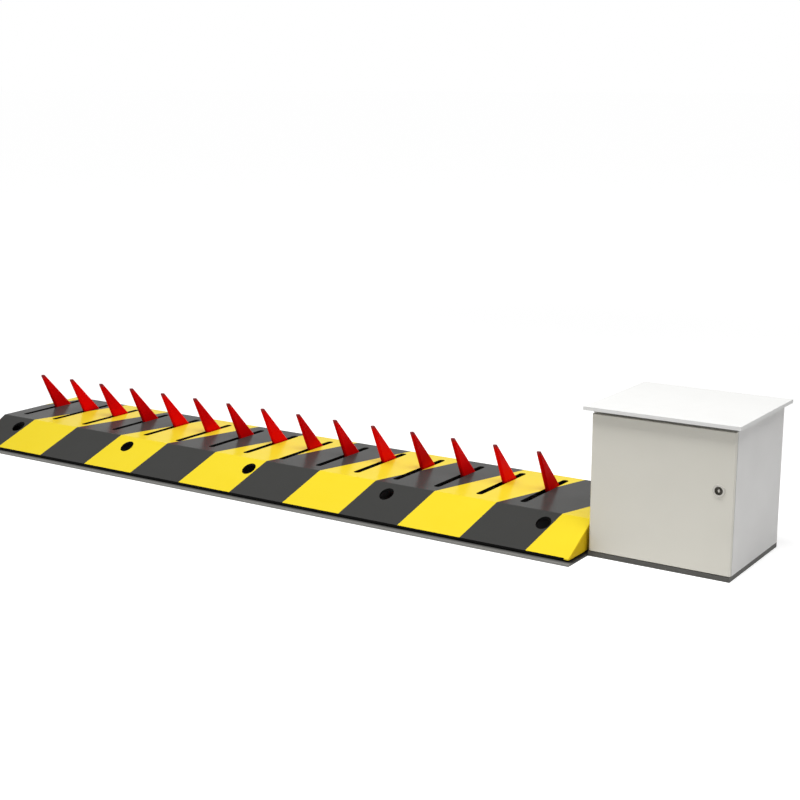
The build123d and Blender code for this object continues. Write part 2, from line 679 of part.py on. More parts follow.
def frame_ring(y0, y1, outer_inset, inner_inset):
    """Rectangular ring in the door opening, inset from the frame's outer edges."""
    outer = block(
        FRAME_LEFT + outer_inset,
        FRAME_RIGHT - outer_inset,
        y0,
        y1,
        PLINTH_HEIGHT + outer_inset,
        FRAME_HEAD - outer_inset,
    )
    return outer - block(
        FRAME_LEFT + inner_inset,
        FRAME_RIGHT - inner_inset,
        y0 - FRAME_DEPTH,
        y1 + FRAME_DEPTH,
        PLINTH_HEIGHT + inner_inset,
        FRAME_HEAD - inner_inset,
    )


def hinge_bracket(z0):
    """Lug on the door frame that holds one hinge pin, with its leg clear of the door's rounded edge."""
    lug = disc(HINGE_INSET - SHEET - SEAT_GAP, HINGE_X, HINGE_Y)
    leg_x = HINGE_X + SEAT_GAP + HINGE_LEG / 2
    leg = Pos(leg_x, (HINGE_Y + BODY_FRONT) / 2) * Rectangle(HINGE_LEG, BODY_FRONT - HINGE_Y)
    return along_z(lug + leg - disc(HINGE_PIN_R, HINGE_X, HINGE_Y), z0, z0 + HINGE_BRACKET)


def hinge_places():
    """Foot of the lower and of the upper hinge bracket."""
    lower = DOOR_FOOT + SHEET + SEAT_GAP
    upper = DOOR_TOP - SHEET - SEAT_GAP - HINGE_BRACKET
    return lower, upper


def door_frame():
    """Frame round the doorway: a flat ring, a header, a return behind its inner edge and two hinge lugs."""
    frame = frame_ring(BODY_FRONT, BODY_FRONT + SHEET, 0, FRAME_WIDTH)
    frame += block(FRAME_LEFT, FRAME_RIGHT, BODY_FRONT, BODY_FRONT + SHEET, FRAME_HEAD, CABINET_TOP)
    frame += frame_ring(BODY_FRONT, BODY_FRONT + FRAME_DEPTH, FRAME_WIDTH - SHEET, FRAME_WIDTH)
    for z in hinge_places():
        frame += hinge_bracket(z)
    return frame


def hinge_pins():
    """Two upright pins, held in the lugs, on which the door's flanges turn."""
    lower, upper = hinge_places()
    pin = disc(HINGE_PIN_R, HINGE_X, HINGE_Y)
    top = upper + HINGE_BRACKET + SEAT_GAP + SHEET
    foot = lower - SEAT_GAP - SHEET
    return [along_z(pin, foot, foot + HINGE_PIN_LENGTH), along_z(pin, top - HINGE_PIN_LENGTH, top)]


def door_gasket():
    """Rubber strip on the frame, inside the door's flanges."""
    return frame_ring(BODY_FRONT - GASKET_THICK, BODY_FRONT, FRAME_WIDTH - GASKET_WIDTH, FRAME_WIDTH)


def door_panel():
    """Folded door pan, round on its hinge edge, relieved there for the hinge lugs."""
    pan = block(DOOR_LEFT, CABINET_RIGHT, CABINET_FRONT, DOOR_BACK, DOOR_FOOT, DOOR_TOP)
    upright = pan.edges().filter_by(Axis.Z).group_by(Axis.Y)[0].sort_by(Axis.X)
    pan = fillet(upright[0], HINGE_INSET)
    bends = pan.faces().sort_by(Axis.Y)[0].edges().sort_by(Axis.X)[1:]
    pan = fillet(bends, DOOR_BEND_R)
    inner = block(
        DOOR_LEFT + SHEET,
        CABINET_RIGHT - SHEET,
        CABINET_FRONT + SHEET,
        DOOR_BACK + DOOR_DEPTH,
        DOOR_FOOT + SHEET,
        DOOR_TOP - SHEET,
    )
    upright = inner.edges().filter_by(Axis.Z).group_by(Axis.Y)[0].sort_by(Axis.X)
    pan -= fillet(upright[0], HINGE_INSET - SHEET)
    edge = DOOR_LEFT + 2 * HINGE_INSET
    side = CABINET_FRONT + HINGE_FLANGE
    pan -= block(DOOR_LEFT - SHEET, edge, side, DOOR_BACK + SHEET, DOOR_FOOT - SHEET, DOOR_TOP + SHEET)
    lower = (DOOR_FOOT + SHEET, DOOR_FOOT + HINGE_RELIEF)
    upper = (DOOR_TOP - HINGE_RELIEF, DOOR_TOP - SHEET)
    for z0, z1 in (lower, upper):
        pan -= block(DOOR_LEFT - SHEET, DOOR_LEFT + SHEET, HINGE_Y, DOOR_BACK, z0, z1)
    pan -= along_z(disc(HINGE_PIN_R + FIT, HINGE_X, HINGE_Y), DOOR_FOOT - SHEET, DOOR_TOP + SHEET)
    hole = disc(LOCK_BARREL_R + FIT, LOCK_X, LOCK_HEIGHT)
    return pan - along_y(hole, CABINET_FRONT - SHEET, CABINET_FRONT + 2 * SHEET)


def lock_body():
    """Round lock with a deep recess in its flange and a barrel through the door."""
    front = CABINET_FRONT - LOCK_FLANGE_THICK
    body = along_y(disc(LOCK_FLANGE_R, LOCK_X, LOCK_HEIGHT), front, CABINET_FRONT)
    body = chamfer(body.edges().group_by(Axis.Y)[0], LOCK_FLANGE_THICK / 2)
    barrel = disc(LOCK_BARREL_R, LOCK_X, LOCK_HEIGHT)
    body += along_y(barrel, CABINET_FRONT, CABINET_FRONT + LOCK_BARREL_LENGTH)
    body -= along_y(disc(LOCK_RECESS_R, LOCK_X, LOCK_HEIGHT), front, front + LOCK_RECESS_DEPTH)
    bore = disc(LOCK_CORE_R + FIT, LOCK_X, LOCK_HEIGHT)
    return body - along_y(bore, front, CABINET_FRONT + LOCK_BARREL_LENGTH)


def lock_core():
    """Turning plug with a winged stud for the socket key."""
    front = CABINET_FRONT - LOCK_FLANGE_THICK
    floor = front + LOCK_RECESS_DEPTH
    plug = along_y(disc(LOCK_CORE_R, LOCK_X, LOCK_HEIGHT), floor, CAM_FRONT)
    stud = disc(LOCK_STUD_R, LOCK_X, LOCK_HEIGHT)
    stud += Pos(LOCK_X, LOCK_HEIGHT) * Rectangle(LOCK_WING_THICK, LOCK_STUD_WINGS)
    return plug + along_y(stud, front + LOCK_STUD_SINK, floor)


def lock_cam():
    """Latch bar on the plug's end, upright while the door is free."""
    end = disc(LOCK_CAM_R, LOCK_X, LOCK_HEIGHT + LOCK_CAM_REACH)
    bar = hull_of(disc(LOCK_CORE_R, LOCK_X, LOCK_HEIGHT), end)
    return along_y(bar, CAM_FRONT, CAM_FRONT + LOCK_CAM_THICK)


# Hydraulic power unit


def oil_tank():
    """Open-topped steel tank on the cabinet floor."""
    tank = block(TANK_LEFT, TANK_RIGHT, TANK_FRONT, TANK_BACK, PLINTH_HEIGHT, TANK_TOP)
    return tank - block(
        TANK_LEFT + TANK_WALL,
        TANK_RIGHT - TANK_WALL,
        TANK_FRONT + TANK_WALL,
        TANK_BACK - TANK_WALL,
        PLINTH_HEIGHT + TANK_WALL,
        TANK_TOP + TANK_WALL,
    )


def tank_lid():
    """Plate that closes the tank and carries the motor, pump and valves."""
    lid = block(
        TANK_LEFT - LID_MARGIN,
        TANK_RIGHT + LID_MARGIN,
        TANK_FRONT - LID_MARGIN,
        TANK_BACK + LID_MARGIN,
        TANK_TOP,
        LID_TOP,
    )
    return fillet(lid.edges().filter_by(Axis.Z), LID_MARGIN)


def motor_body():
    """Finned motor on its bell, with a terminal box and the shaft end that carries the fan."""
    centre = Pos(MOTOR_X, MOTOR_Y)
    body = along_z(centre * Circle(MOTOR_R + BELL_FLANGE), LID_TOP, LID_TOP + BELL_FLANGE_THICK)
    body += along_z(centre * Circle(MOTOR_R), LID_TOP, MOTOR_TOP)
    fin = Pos(MOTOR_R, 0) * Rectangle(2 * FIN_HEIGHT, FIN_THICK)
    fins = [centre * Rot(0, 0, k * 360 / FIN_COUNT) * fin for k in range(FIN_COUNT)]
    for section in fins:
        body += along_z(section, BELL_TOP, MOTOR_TOP)
    middle = (BELL_TOP + COWL_FOOT) / 2
    half = TERMINAL_SIDE / 2
    front = MOTOR_Y - FIN_R - TERMINAL_STAND
    body += block(MOTOR_X - half, MOTOR_X + half, front, MOTOR_Y, middle - half, middle + half)
    return body + along_z(centre * Circle(MOTOR_SHAFT_R), MOTOR_TOP, FAN_TOP)


def fan_cowl():
    """Sheet cup over the fan, slotted for air."""
    centre = Pos(MOTOR_X, MOTOR_Y)
    inner_r = FIN_R + FIT
    cup = along_z(centre * Circle(inner_r + COWL_SHEET), COWL_FOOT, COWL_TOP)
    cup = fillet(cup.edges().group_by(Axis.Z)[-1], 2 * COWL_SHEET)
    cup -= along_z(centre * Circle(inner_r), COWL_FOOT, COWL_TOP - COWL_SHEET)
    slot = Pos(COWL_SLOT_R, 0) * SlotOverall(COWL_SLOT_LENGTH, COWL_SLOT_WIDTH)
    slots = [centre * Rot(0, 0, k * 360 / COWL_SLOT_COUNT) * slot for k in range(COWL_SLOT_COUNT)]
    return cup - [along_z(section, COWL_TOP - 2 * COWL_SHEET, COWL_TOP + COWL_SHEET) for section in slots]


def motor_fan():
    """Bladed wheel on the motor's upper shaft end."""
    centre = Pos(MOTOR_X, MOTOR_Y)
    wheel = along_z(centre * Circle(FAN_HUB_R), FAN_FOOT, FAN_TOP)
    blade = Pos((FAN_HUB_R + FAN_R) / 2, 0) * Rectangle(FAN_R - FAN_HUB_R + FAN_BLADE_THICK, FAN_BLADE_THICK)
    for k in range(FAN_BLADE_COUNT):
        wheel += along_z(centre * Rot(0, 0, k * 360 / FAN_BLADE_COUNT) * blade, FAN_FOOT, FAN_TOP)
    return wheel - along_z(centre * Circle(MOTOR_SHAFT_R + FIT), FAN_FOOT, FAN_TOP)


def pump():
    """Gear pump hung from the lid, with its suction strainer."""
    half = PUMP_SIDE / 2
    foot = TANK_TOP - PUMP_HEIGHT
    body = block(MOTOR_X - half, MOTOR_X + half, MOTOR_Y - half, MOTOR_Y + half, foot, TANK_TOP)
    return body + along_z(disc(STRAINER_R, MOTOR_X, MOTOR_Y), foot - STRAINER_HEIGHT, foot)


def valve_block():
    """Drilled manifold on the lid, with the seat of the release screw."""
    body = block(
        VALVE_LEFT, VALVE_LEFT + VALVE_WIDTH, VALVE_FRONT, VALVE_FRONT + VALVE_DEPTH, LID_TOP, VALVE_TOP
    )
    body = chamfer(body.edges().filter_by(Axis.Z), VALVE_CHAMFER)
    seat = disc(KNOB_STEM_R + FIT, VALVE_LEFT + KNOB_FROM_VALVE_LEFT, LID_TOP + KNOB_RISE)
    return body - along_y(seat, VALVE_FRONT, VALVE_FRONT + KNOB_STEM_SEAT)


def solenoid_valve():
    """Directional valve on the manifold, with its coil towards the door."""
    half = SOLENOID_SIDE / 2
    y0 = VALVE_MID_Y - half
    top = VALVE_TOP + SOLENOID_HEIGHT
    valve = block(VALVE_MID_X - half, VALVE_MID_X + half, y0, y0 + SOLENOID_SIDE, VALVE_TOP, top)
    axis_z = VALVE_TOP + SOLENOID_HEIGHT / 2
    coil_end = y0 - SOLENOID_COIL_LENGTH
    valve += along_y(disc(SOLENOID_COIL_R, VALVE_MID_X, axis_z), coil_end, y0)
    cap = disc(SOLENOID_CAP_R, VALVE_MID_X, axis_z)
    return valve + along_y(cap, coil_end - SOLENOID_CAP_LENGTH, coil_end)


def pressure_gauge():
    """Dial gauge on a stem in the manifold's front."""
    x = VALVE_LEFT + GAUGE_FROM_VALVE_LEFT
    z = LID_TOP + GAUGE_RISE
    back = VALVE_FRONT - GAUGE_STEM_LENGTH
    front = back - GAUGE_DEPTH
    case = along_y(disc(GAUGE_R, x, z), front, back)
    case -= along_y(disc(GAUGE_DIAL_R, x, z), front, front + GAUGE_DIAL_RECESS)
    return case + along_y(disc(GAUGE_STEM_R, x, z), back, VALVE_FRONT)


def release_knob():
    """Fluted hand knob of the lowering valve."""
    x = VALVE_LEFT + KNOB_FROM_VALVE_LEFT
    z = LID_TOP + KNOB_RISE
    section = disc(KNOB_R, x, z)
    for k in range(KNOB_FLUTE_COUNT):
        turn = 2 * math.pi * k / KNOB_FLUTE_COUNT
        section -= disc(KNOB_FLUTE_R, x + KNOB_R * math.cos(turn), z + KNOB_R * math.sin(turn))
    back = VALVE_FRONT - KNOB_STEM_LENGTH
    knob = along_y(section, back - KNOB_LENGTH, back)
    return knob + along_y(disc(KNOB_STEM_R, x, z), back, VALVE_FRONT + KNOB_STEM_SEAT - SEAT_GAP)


def filler_cap():
    """Breather cap on its neck."""
    x = TANK_LEFT + FILLER_FROM_TANK_LEFT
    y = TANK_BACK - FILLER_FROM_TANK_BACK
    cap = along_z(disc(FILLER_NECK_R, x, y), LID_TOP, LID_TOP + FILLER_NECK)
    foot = LID_TOP + FILLER_NECK
    top = along_z(disc(FILLER_R, x, y), foot, foot + FILLER_HEIGHT)
    return cap + fillet(top.edges().group_by(Axis.Z)[-1], FILLER_NECK / 2)


def hose(start, port_y, port_z):
    """Hose from the top of a cylinder end to the manifold's left face, with a ferrule at each end."""
    x, y, z = start
    turn_x = VALVE_LEFT - HOSE_LEAD_IN
    points = (start, (x, y, z + HOSE_RISE), (turn_x, port_y, port_z), (VALVE_LEFT, port_y, port_z))
    path = FilletPolyline(*points, radius=HOSE_BEND_R)
    tube = sweep(Plane(origin=start, z_dir=(0, 0, 1)) * Circle(HOSE_R), path=path)
    tube += along_z(disc(FERRULE_R, x, y), z, z + FERRULE_LENGTH)
    return tube + along_x(disc(FERRULE_R, port_y, port_z), VALVE_LEFT - FERRULE_LENGTH, VALVE_LEFT)


def hydraulic_hoses():
    """Raise and lower hoses."""
    raise_port = (ROD_X, (CYLINDER_BACK + BORE_BACK) / 2, CAP_TOP)
    lower_port = (ROD_X, (BORE_FRONT + GLAND_FACE) / 2, CAP_TOP)
    port_z = VALVE_TOP - HOSE_PORT_DROP
    near = VALVE_MID_Y - HOSE_PORT_SPACING / 2
    far = VALVE_MID_Y + HOSE_PORT_SPACING / 2
    return [hose(raise_port, near, port_z), hose(lower_port, far, port_z)]


def control_box():
    """Electrical box on the back wall, with a lid joint and cable glands below."""
    right = CONTROL_BOX_LEFT + CONTROL_BOX_WIDTH
    front = CONTROL_BOX_BACK - CONTROL_BOX_DEPTH
    top = CONTROL_BOX_FOOT + CONTROL_BOX_HEIGHT
    box = block(CONTROL_BOX_LEFT, right, front, CONTROL_BOX_BACK, CONTROL_BOX_FOOT, top)
    box = fillet(box.edges().filter_by(Axis.Y), CONTROL_BOX_ROUND)
    joint = front + CONTROL_LID_DEPTH
    groove = CONTROL_LID_GROOVE
    ring = block(CONTROL_BOX_LEFT, right, joint, joint + groove, CONTROL_BOX_FOOT, top)
    ring -= block(
        CONTROL_BOX_LEFT + groove,
        right - groove,
        front,
        CONTROL_BOX_BACK,
        CONTROL_BOX_FOOT + groove,
        top - groove,
    )
    box -= ring
    step = CONTROL_BOX_WIDTH / (GLAND_COUNT + 1)
    y = (joint + CONTROL_BOX_BACK) / 2
    for k in range(GLAND_COUNT):
        place = disc(GLAND_R, CONTROL_BOX_LEFT + (k + 1) * step, y)
        box += along_z(place, CONTROL_BOX_FOOT - GLAND_HEIGHT, CONTROL_BOX_FOOT)
    return box


def all_parts():
    """Every named piece with its solid, or its list of solids."""
    deck, front, rear = cover_sections()
    parts = {
        "base_plate": base_plate(),
        "deck_plate": deck_plate(deck),
        "front_ramp_plate": ramp_plate(front, -1),
        "rear_ramp_plate": ramp_plate(rear, 1),
        "left_end_plate": end_plate(LEFT, 1, LEFT + END_CAP, LEFT + END_THICK),
        "right_end_plate": end_plate(HOUSING_RIGHT, -1, HOUSING_RIGHT - END_THICK, HOUSING_RIGHT),
        "front_sill": sill(-1),
        "rear_sill": sill(1),
        "shaft_bushes": shaft_bushes(),
        "spike_shaft": spike_shaft(),
        "crank_arm": crank_arm(),
        "crank_roller": crank_roller(),
        "rod_yoke": rod_yoke(),
        "piston_rod": piston_rod(),
        "cylinder_body": cylinder_body(),
        "cylinder_stand": cylinder_stand(),
        "cabinet_base": cabinet_base(),
        "cabinet_left_wall": left_wall(),
        "cabinet_right_wall": right_wall(),
        "cabinet_back_wall": back_wall(),
        "cabinet_roof": cabinet_roof(),
        "door_frame": door_frame(),
        "door_hinge_pins": hinge_pins(),
        "door_gasket": door_gasket(),
        "door_panel": door_panel(),
        "lock_body": lock_body(),
        "lock_core": lock_core(),
        "lock_cam": lock_cam(),
        "oil_tank": oil_tank(),
        "tank_lid": tank_lid(),
        "motor_body": motor_body(),
        "fan_cowl": fan_cowl(),
        "motor_fan": motor_fan(),
        "pump": pump(),
        "valve_block": valve_block(),
        "solenoid_valve": solenoid_valve(),
        "pressure_gauge": pressure_gauge(),
        "release_knob": release_knob(),
        "filler_cap": filler_cap(),
        "hydraulic_hoses": hydraulic_hoses(),
        "control_box": control_box(),
    }
    for k, x in enumerate(RIB_X, start=1):
        parts[f"rib_{k}"] = rib(x)
    pattern = spike_pattern()
    for k, x in enumerate(SPIKE_X, start=1):
        parts[f"spike_{k:02d}"] = Pos(x, PIVOT_Y, PIVOT_Z) * pattern
    return parts


def write_parts():
    """Write one file for each named piece."""
    os.makedirs("parts", exist_ok=True)
    for name, shape in all_parts().items():
        solids = shape if isinstance(shape, list) else [shape]
        export_step(Compound(children=[s for item in solids for s in item.solids()]), f"parts/{name}.step")


write_parts()
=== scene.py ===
import logging
import math
from abc import ABC, abstractmethod
from dataclasses import dataclass
from enum import Enum
from itertools import product
from typing import Callable, Iterable, Optional, Sequence, Union

import bmesh
import bpy
from mathutils import Matrix, Vector


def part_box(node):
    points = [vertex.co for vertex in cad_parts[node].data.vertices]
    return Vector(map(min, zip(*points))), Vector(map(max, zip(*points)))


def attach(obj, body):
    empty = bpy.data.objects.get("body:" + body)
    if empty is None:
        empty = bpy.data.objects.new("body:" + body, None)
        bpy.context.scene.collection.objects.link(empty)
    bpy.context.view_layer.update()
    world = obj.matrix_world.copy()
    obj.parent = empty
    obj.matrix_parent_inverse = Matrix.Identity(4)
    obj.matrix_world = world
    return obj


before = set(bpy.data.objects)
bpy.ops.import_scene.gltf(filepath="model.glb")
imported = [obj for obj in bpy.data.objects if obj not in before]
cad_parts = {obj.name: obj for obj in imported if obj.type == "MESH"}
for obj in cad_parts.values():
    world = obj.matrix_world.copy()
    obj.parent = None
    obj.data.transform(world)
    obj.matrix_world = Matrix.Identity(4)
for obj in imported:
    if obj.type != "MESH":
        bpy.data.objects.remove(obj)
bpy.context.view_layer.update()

# Looks of the hydraulic spike barrier: finishes for its CAD nodes, small fittings and a white studio.

NODES: dict[str, bpy.types.Object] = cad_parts
LOG = logging.getLogger("spike_barrier")

Point = Sequence[float]
Profile = Sequence[tuple[float, float]]
Tree = bpy.types.NodeTree
Socket = bpy.types.NodeSocket
FaceTest = Callable[[Vector, Vector], bool]

ALONG_X = (1.0, 0.0, 0.0)
AGAINST_X = (-1.0, 0.0, 0.0)
ALONG_Y = (0.0, 1.0, 0.0)
TO_DOOR = (0.0, -1.0, 0.0)
UP = (0.0, 0.0, 1.0)
# Signs of the four corners of a rectangle.
CORNERS = tuple(product((-1, 1), repeat=2))

MM = 0.001
# Added pieces are let into their seats by this much, so that no gap shows.
SINK_MM = 0.3
SINK = SINK_MM * MM
# Height of the spikes' tips, and the length below them over which the red turns darker.
SPIKE_TOP_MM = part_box("spike_01")[1].z / MM
TIP_FADE_MM = 20.0
# Distance of the road plate's long edges from its middle, and the width over which the plate's painted
# shade from under the ramps fades out towards them.
ROAD_EDGE_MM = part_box("base_plate")[1].y / MM
SHADE_FADE_MM = 33.0
# A face looks along an axis if more than this share of its direction lies along it.
FACING = 0.5
# Edges that turn by more than this stay sharp on a smooth piece.
SHARP_DEG = 35.0
# A turned piece with no more sides than this shows its flats.
MOST_FLATS = 8
# Noise seldom leaves this range, which is spread over the whole range of gloss.
NOISE_RANGE = (0.3, 0.7)
# Sockets of a Mix node that hold colours: two that go in and one that comes out.
MIX_FIRST, MIX_SECOND, MIXED = 6, 7, 2


def linear(colour: str) -> tuple[float, float, float, float]:
    """Turn an sRGB hex colour into linear light.

    Args:
        colour: six hex digits after a hash sign.

    Returns:
        Red, green, blue and an alpha of 1.
    """
    parts = [int(colour[i : i + 2], 16) / 255 for i in (1, 3, 5)]
    red, green, blue = (c / 12.92 if c <= 0.04045 else ((c + 0.055) / 1.055) ** 2.4 for c in parts)
    return red, green, blue, 1.0


def emptied_tree(owner: Union[bpy.types.Material, bpy.types.World]) -> Tree:
    """Clear away the default nodes of a material or world.

    Args:
        owner: the material or world.

    Returns:
        Its empty node tree.
    """
    owner.use_nodes = True
    owner.node_tree.nodes.clear()
    return owner.node_tree


def add_node(
    tree: Tree, kind: str, inputs: Optional[dict[Union[str, int], object]] = None, **settings: object
) -> bpy.types.NodeOutputs:
    """Add one shader node with its settings and links.

    Args:
        tree: the node tree that gets the node.
        kind: the node's type name without ShaderNode, which they all start with.
        inputs: socket name or index to a value, or to the output socket that feeds it.
        **settings: properties of the node itself.

    Returns:
        The new node's output sockets.
    """
    node = tree.nodes.new("ShaderNode" + kind)
    for key, value in settings.items():
        setattr(node, key, value)
    for key, value in (inputs or {}).items():
        if isinstance(value, Socket):
            tree.links.new(value, node.inputs[key])
        else:
            node.inputs[key].default_value = value
    return node.outputs


# Kinds of finish


class Grain(Enum):
    """Direction of a surface's fine relief, as its pace along X, Y and Z."""

    EVEN = (1.0, 1.0, 1.0)
    ALONG_X = (0.02, 1.0, 1.0)
    ALONG_Z = (1.0, 1.0, 0.02)


@dataclass(frozen=True)
class Finish:
    """One real surface: its colours, gloss and fine relief.

    Attributes:
        name: the material and how its surface was made.
        colour: sRGB hex of the main colour.
        shade: sRGB hex of the faint clouds in it.
        slot: the record's material slot that it stands for; not used.
        roughness: gloss, from 0 for a mirror to 1 for chalk.
        spread: how far the clouds change the roughness.
        metallic: 1 for bare metal.
        coat: weight of a clear coat.
        grain: direction of the fine relief.
        grain_mm: width of one grain of the relief.
        relief_mm: height of the relief.
        cloud_mm: width of one cloud.
        ior: how strongly a paint, plastic or glass mirrors at low angles.
        clear: share of light that passes straight through.
    """

    name: str
    colour: str
    shade: str
    slot: str
    roughness: float = 0.4
    spread: float = 0.04
    metallic: float = 0.0
    coat: float = 0.0
    grain: Grain = Grain.EVEN
    grain_mm: float = 3.0
    relief_mm: float = 0.02
    cloud_mm: float = 140.0
    ior: float = 1.5
    clear: float = 0.0

    def colours(self, tree: Tree, place: Socket, cloud: Socket) -> Socket:
        """Mix the main colour with its shade.

        Args:
            tree: the material's node tree.
            place: the point on the object, in metres; not used here.
            cloud: slow noise from 0 to 1.

        Returns:
            The colour socket.
        """
        inputs = {"Factor": cloud, MIX_FIRST: linear(self.colour), MIX_SECOND: linear(self.shade)}
        return add_node(tree, "Mix", inputs, data_type="RGBA")[MIXED]

    def material(self) -> bpy.types.Material:
        """Make the material, or find it if it was made before.

        Returns:
            The material.
        """
        made = bpy.data.materials.get(self.name)
        if made is not None:
            return made
        made = bpy.data.materials.new(self.name)
        tree = emptied_tree(made)
        place = add_node(tree, "TexCoord")["Object"]
        noises = []
        for size_mm, grain in ((self.cloud_mm, Grain.EVEN), (self.grain_mm, self.grain)):
            paces = [axis / (size_mm * MM) for axis in grain.value]
            scaled = add_node(tree, "Mapping", {"Vector": place, "Scale": paces})[0]
            inputs = {"Vector": scaled, "Scale": 1.0, "Detail": 2.0, "Roughness": 0.5}
            noises.append(add_node(tree, "TexNoise", inputs)[0])
        cloud, grains = noises
        inputs = {"Height": grains, "Distance": self.relief_mm * MM, "Strength": 1.0}
        relief = add_node(tree, "Bump", inputs)[0]
        inputs = {
            "Value": cloud,
            "From Min": NOISE_RANGE[0],
            "From Max": NOISE_RANGE[1],
            "To Min": self.roughness - self.spread,
            "To Max": self.roughness + self.spread,
        }
        gloss = add_node(tree, "MapRange", inputs)[0]
        inputs = {
            "Base Color": self.colours(tree, place, cloud),
            "Roughness": gloss,
            "Metallic": self.metallic,
            "IOR": self.ior,
            "Coat Weight": self.coat,
            "Transmission Weight": self.clear,
            "Normal": relief,
        }
        surface = add_node(tree, "BsdfPrincipled", inputs)[0]
        add_node(tree, "OutputMaterial", {"Surface": surface})
        return made


@dataclass(frozen=True)
class MetalFinish(Finish):
    """Bare or plated metal."""

    metallic: float = 1.0


@dataclass(frozen=True)
class PowderFinish(Finish):
    """Baked powder coat, with a fine pebble that is drawn coarser than it is, so that it shows."""

    roughness: float = 0.5
    grain_mm: float = 2.5
    relief_mm: float = 0.03


@dataclass(frozen=True)
class BandedFinish(Finish):
    """Road paint in two colours, in diagonal bands of equal width.

    Attributes:
        band: sRGB hex of the second colour.
        band_shade: sRGB hex of the clouds in the second colour.
        band_mm: length of one band along the barrier.
        start_mm: where a band of the main colour starts on the barrier's middle line.
        lean: how far the bands run along the barrier for each step across it.
    """

    band: str = "#454544"
    band_shade: str = "#41413F"
    band_mm: float = 287.4
    start_mm: float = -1615.7
    lean: float = 0.297

    def colours(self, tree: Tree, place: Socket, cloud: Socket) -> Socket:
        """Lay the bands over the clouded main colour.

        Args:
            tree: the material's node tree.
            place: the point on the object, in metres.
            cloud: slow noise from 0 to 1.

        Returns:
            The colour socket.
        """
        axes = add_node(tree, "SeparateXYZ", {0: place})
        pace = 1 / (2 * self.band_mm * MM)
        # Counts the pairs of bands between the start and the point.
        pairs: Union[float, Socket] = -self.start_mm * MM * pace
        for axis, step in (("X", pace), ("Y", -self.lean * pace)):
            inputs = {0: axes[axis], 1: step, 2: pairs}
            pairs = add_node(tree, "Math", inputs, operation="MULTIPLY_ADD")[0]
        within = add_node(tree, "Math", {0: pairs}, operation="FRACT")[0]
        inputs = {0: within, 1: 0.5}
        second = add_node(tree, "Math", inputs, operation="GREATER_THAN")[0]
        main = super().colours(tree, place, cloud)
        inputs = {"Factor": cloud, MIX_FIRST: linear(self.band), MIX_SECOND: linear(self.band_shade)}
        dark = add_node(tree, "Mix", inputs, data_type="RGBA")[MIXED]
        inputs = {"Factor": second, MIX_FIRST: main, MIX_SECOND: dark}
        return add_node(tree, "Mix", inputs, data_type="RGBA")[MIXED]


class Way(Enum):
    """Direction that a fade runs in, as the axis that it is measured along."""

    ACROSS = "Y"
    UPWARD = "Z"


@dataclass(frozen=True)
class FadedFinish(Finish):
    """Paint that fades into another colour along one axis.

    Attributes:
        far: sRGB hex of the colour that it fades into.
        way: direction of the fade.
        from_mm: distance from the middle line or the ground where the fade starts.
        to_mm: distance where only the far colour is left.
    """

    # The default far colour is the near-black of the road plate's painted shade.
    far: str = "#0E0E0E"
    way: Way = Way.UPWARD
    from_mm: float = 0.0
    to_mm: float = 1.0

    def colours(self, tree: Tree, place: Socket, cloud: Socket) -> Socket:
        """Fade the clouded paint into the far colour.

        Args:
            tree: the material's node tree.
            place: the point on the object, in metres.
            cloud: slow noise from 0 to 1.

        Returns:
            The colour socket.
        """
        along = add_node(tree, "SeparateXYZ", {0: place})[self.way.value]
        away = add_node(tree, "Math", {0: along}, operation="ABSOLUTE")[0]
        inputs = {"Value": away, "From Min": self.from_mm * MM, "From Max": self.to_mm * MM}
        fade_share = add_node(tree, "MapRange", inputs)[0]
        paint = super().colours(tree, place, cloud)
        inputs = {"Factor": fade_share, MIX_FIRST: paint, MIX_SECOND: linear(self.far)}
        return add_node(tree, "Mix", inputs, data_type="RGBA")[MIXED]


# The barrier's finishes

# Sprayed road paint cures to a smooth skin: an even colour, and only a faint mirror of the spikes.
HAZARD_PAINT = BandedFinish(
    "sprayed_road_paint",
    "#FCE236",
    "#FADE2E",
    "hazard_paint",
    roughness=0.22,
    grain_mm=14.0,
    relief_mm=0.004,
    ior=1.1,
)
# The end plates' outer faces get a deeper yellow than the cover: painted shade, for the weaker light on
# these side faces.
END_PAINT_SHADED = BandedFinish(
    "road_paint_painted_shade", "#DCB91E", "#D4B11A", "hazard_paint", relief_mm=0.05, ior=1.1
)
# Two-pack enamel over steel plate: a deep, full red that turns a dull, darker red towards the tips.
SPIKE_ENAMEL = FadedFinish(
    "sprayed_red_enamel",
    "#FA0206",
    "#F20204",
    "red_paint",
    grain_mm=8.0,
    ior=1.08,
    far="#8E3A40",
    from_mm=SPIKE_TOP_MM - TIP_FADE_MM,
    to_mm=SPIKE_TOP_MM,
)
# The cabinet's powder coat is pale and matt. The walls get a brighter, cooler copy of the door's coat:
# painted light, making up for the weaker light on the side wall.
WALL_POWDER_BRIGHTENED = PowderFinish("powder_coated_walls_painted_light", "#F0EFED", "#EBEAE8", "cabinet_powder")
DOOR_POWDER = PowderFinish("powder_coated_door", "#E8E5DA", "#E3E0D5", "cabinet_powder")
ROOF_POWDER = PowderFinish("powder_coated_roof", "#F2F2F0", "#EDEDEB", "roof_powder")
# The roof's underside is left in a flat grey primer, so the corner below it stays dark.
ROOF_PRIMER = Finish("flat_grey_primer", "#7C7C78", "#72726E", "black_primer", roughness=0.7, ior=1.2)
# Brushed-on chassis paint dries flat, with a dusty bloom.
PLINTH_PAINT = Finish(
    "brushed_chassis_paint", "#53524E", "#474642", "plinth_paint", roughness=0.6, grain_mm=4.0
)
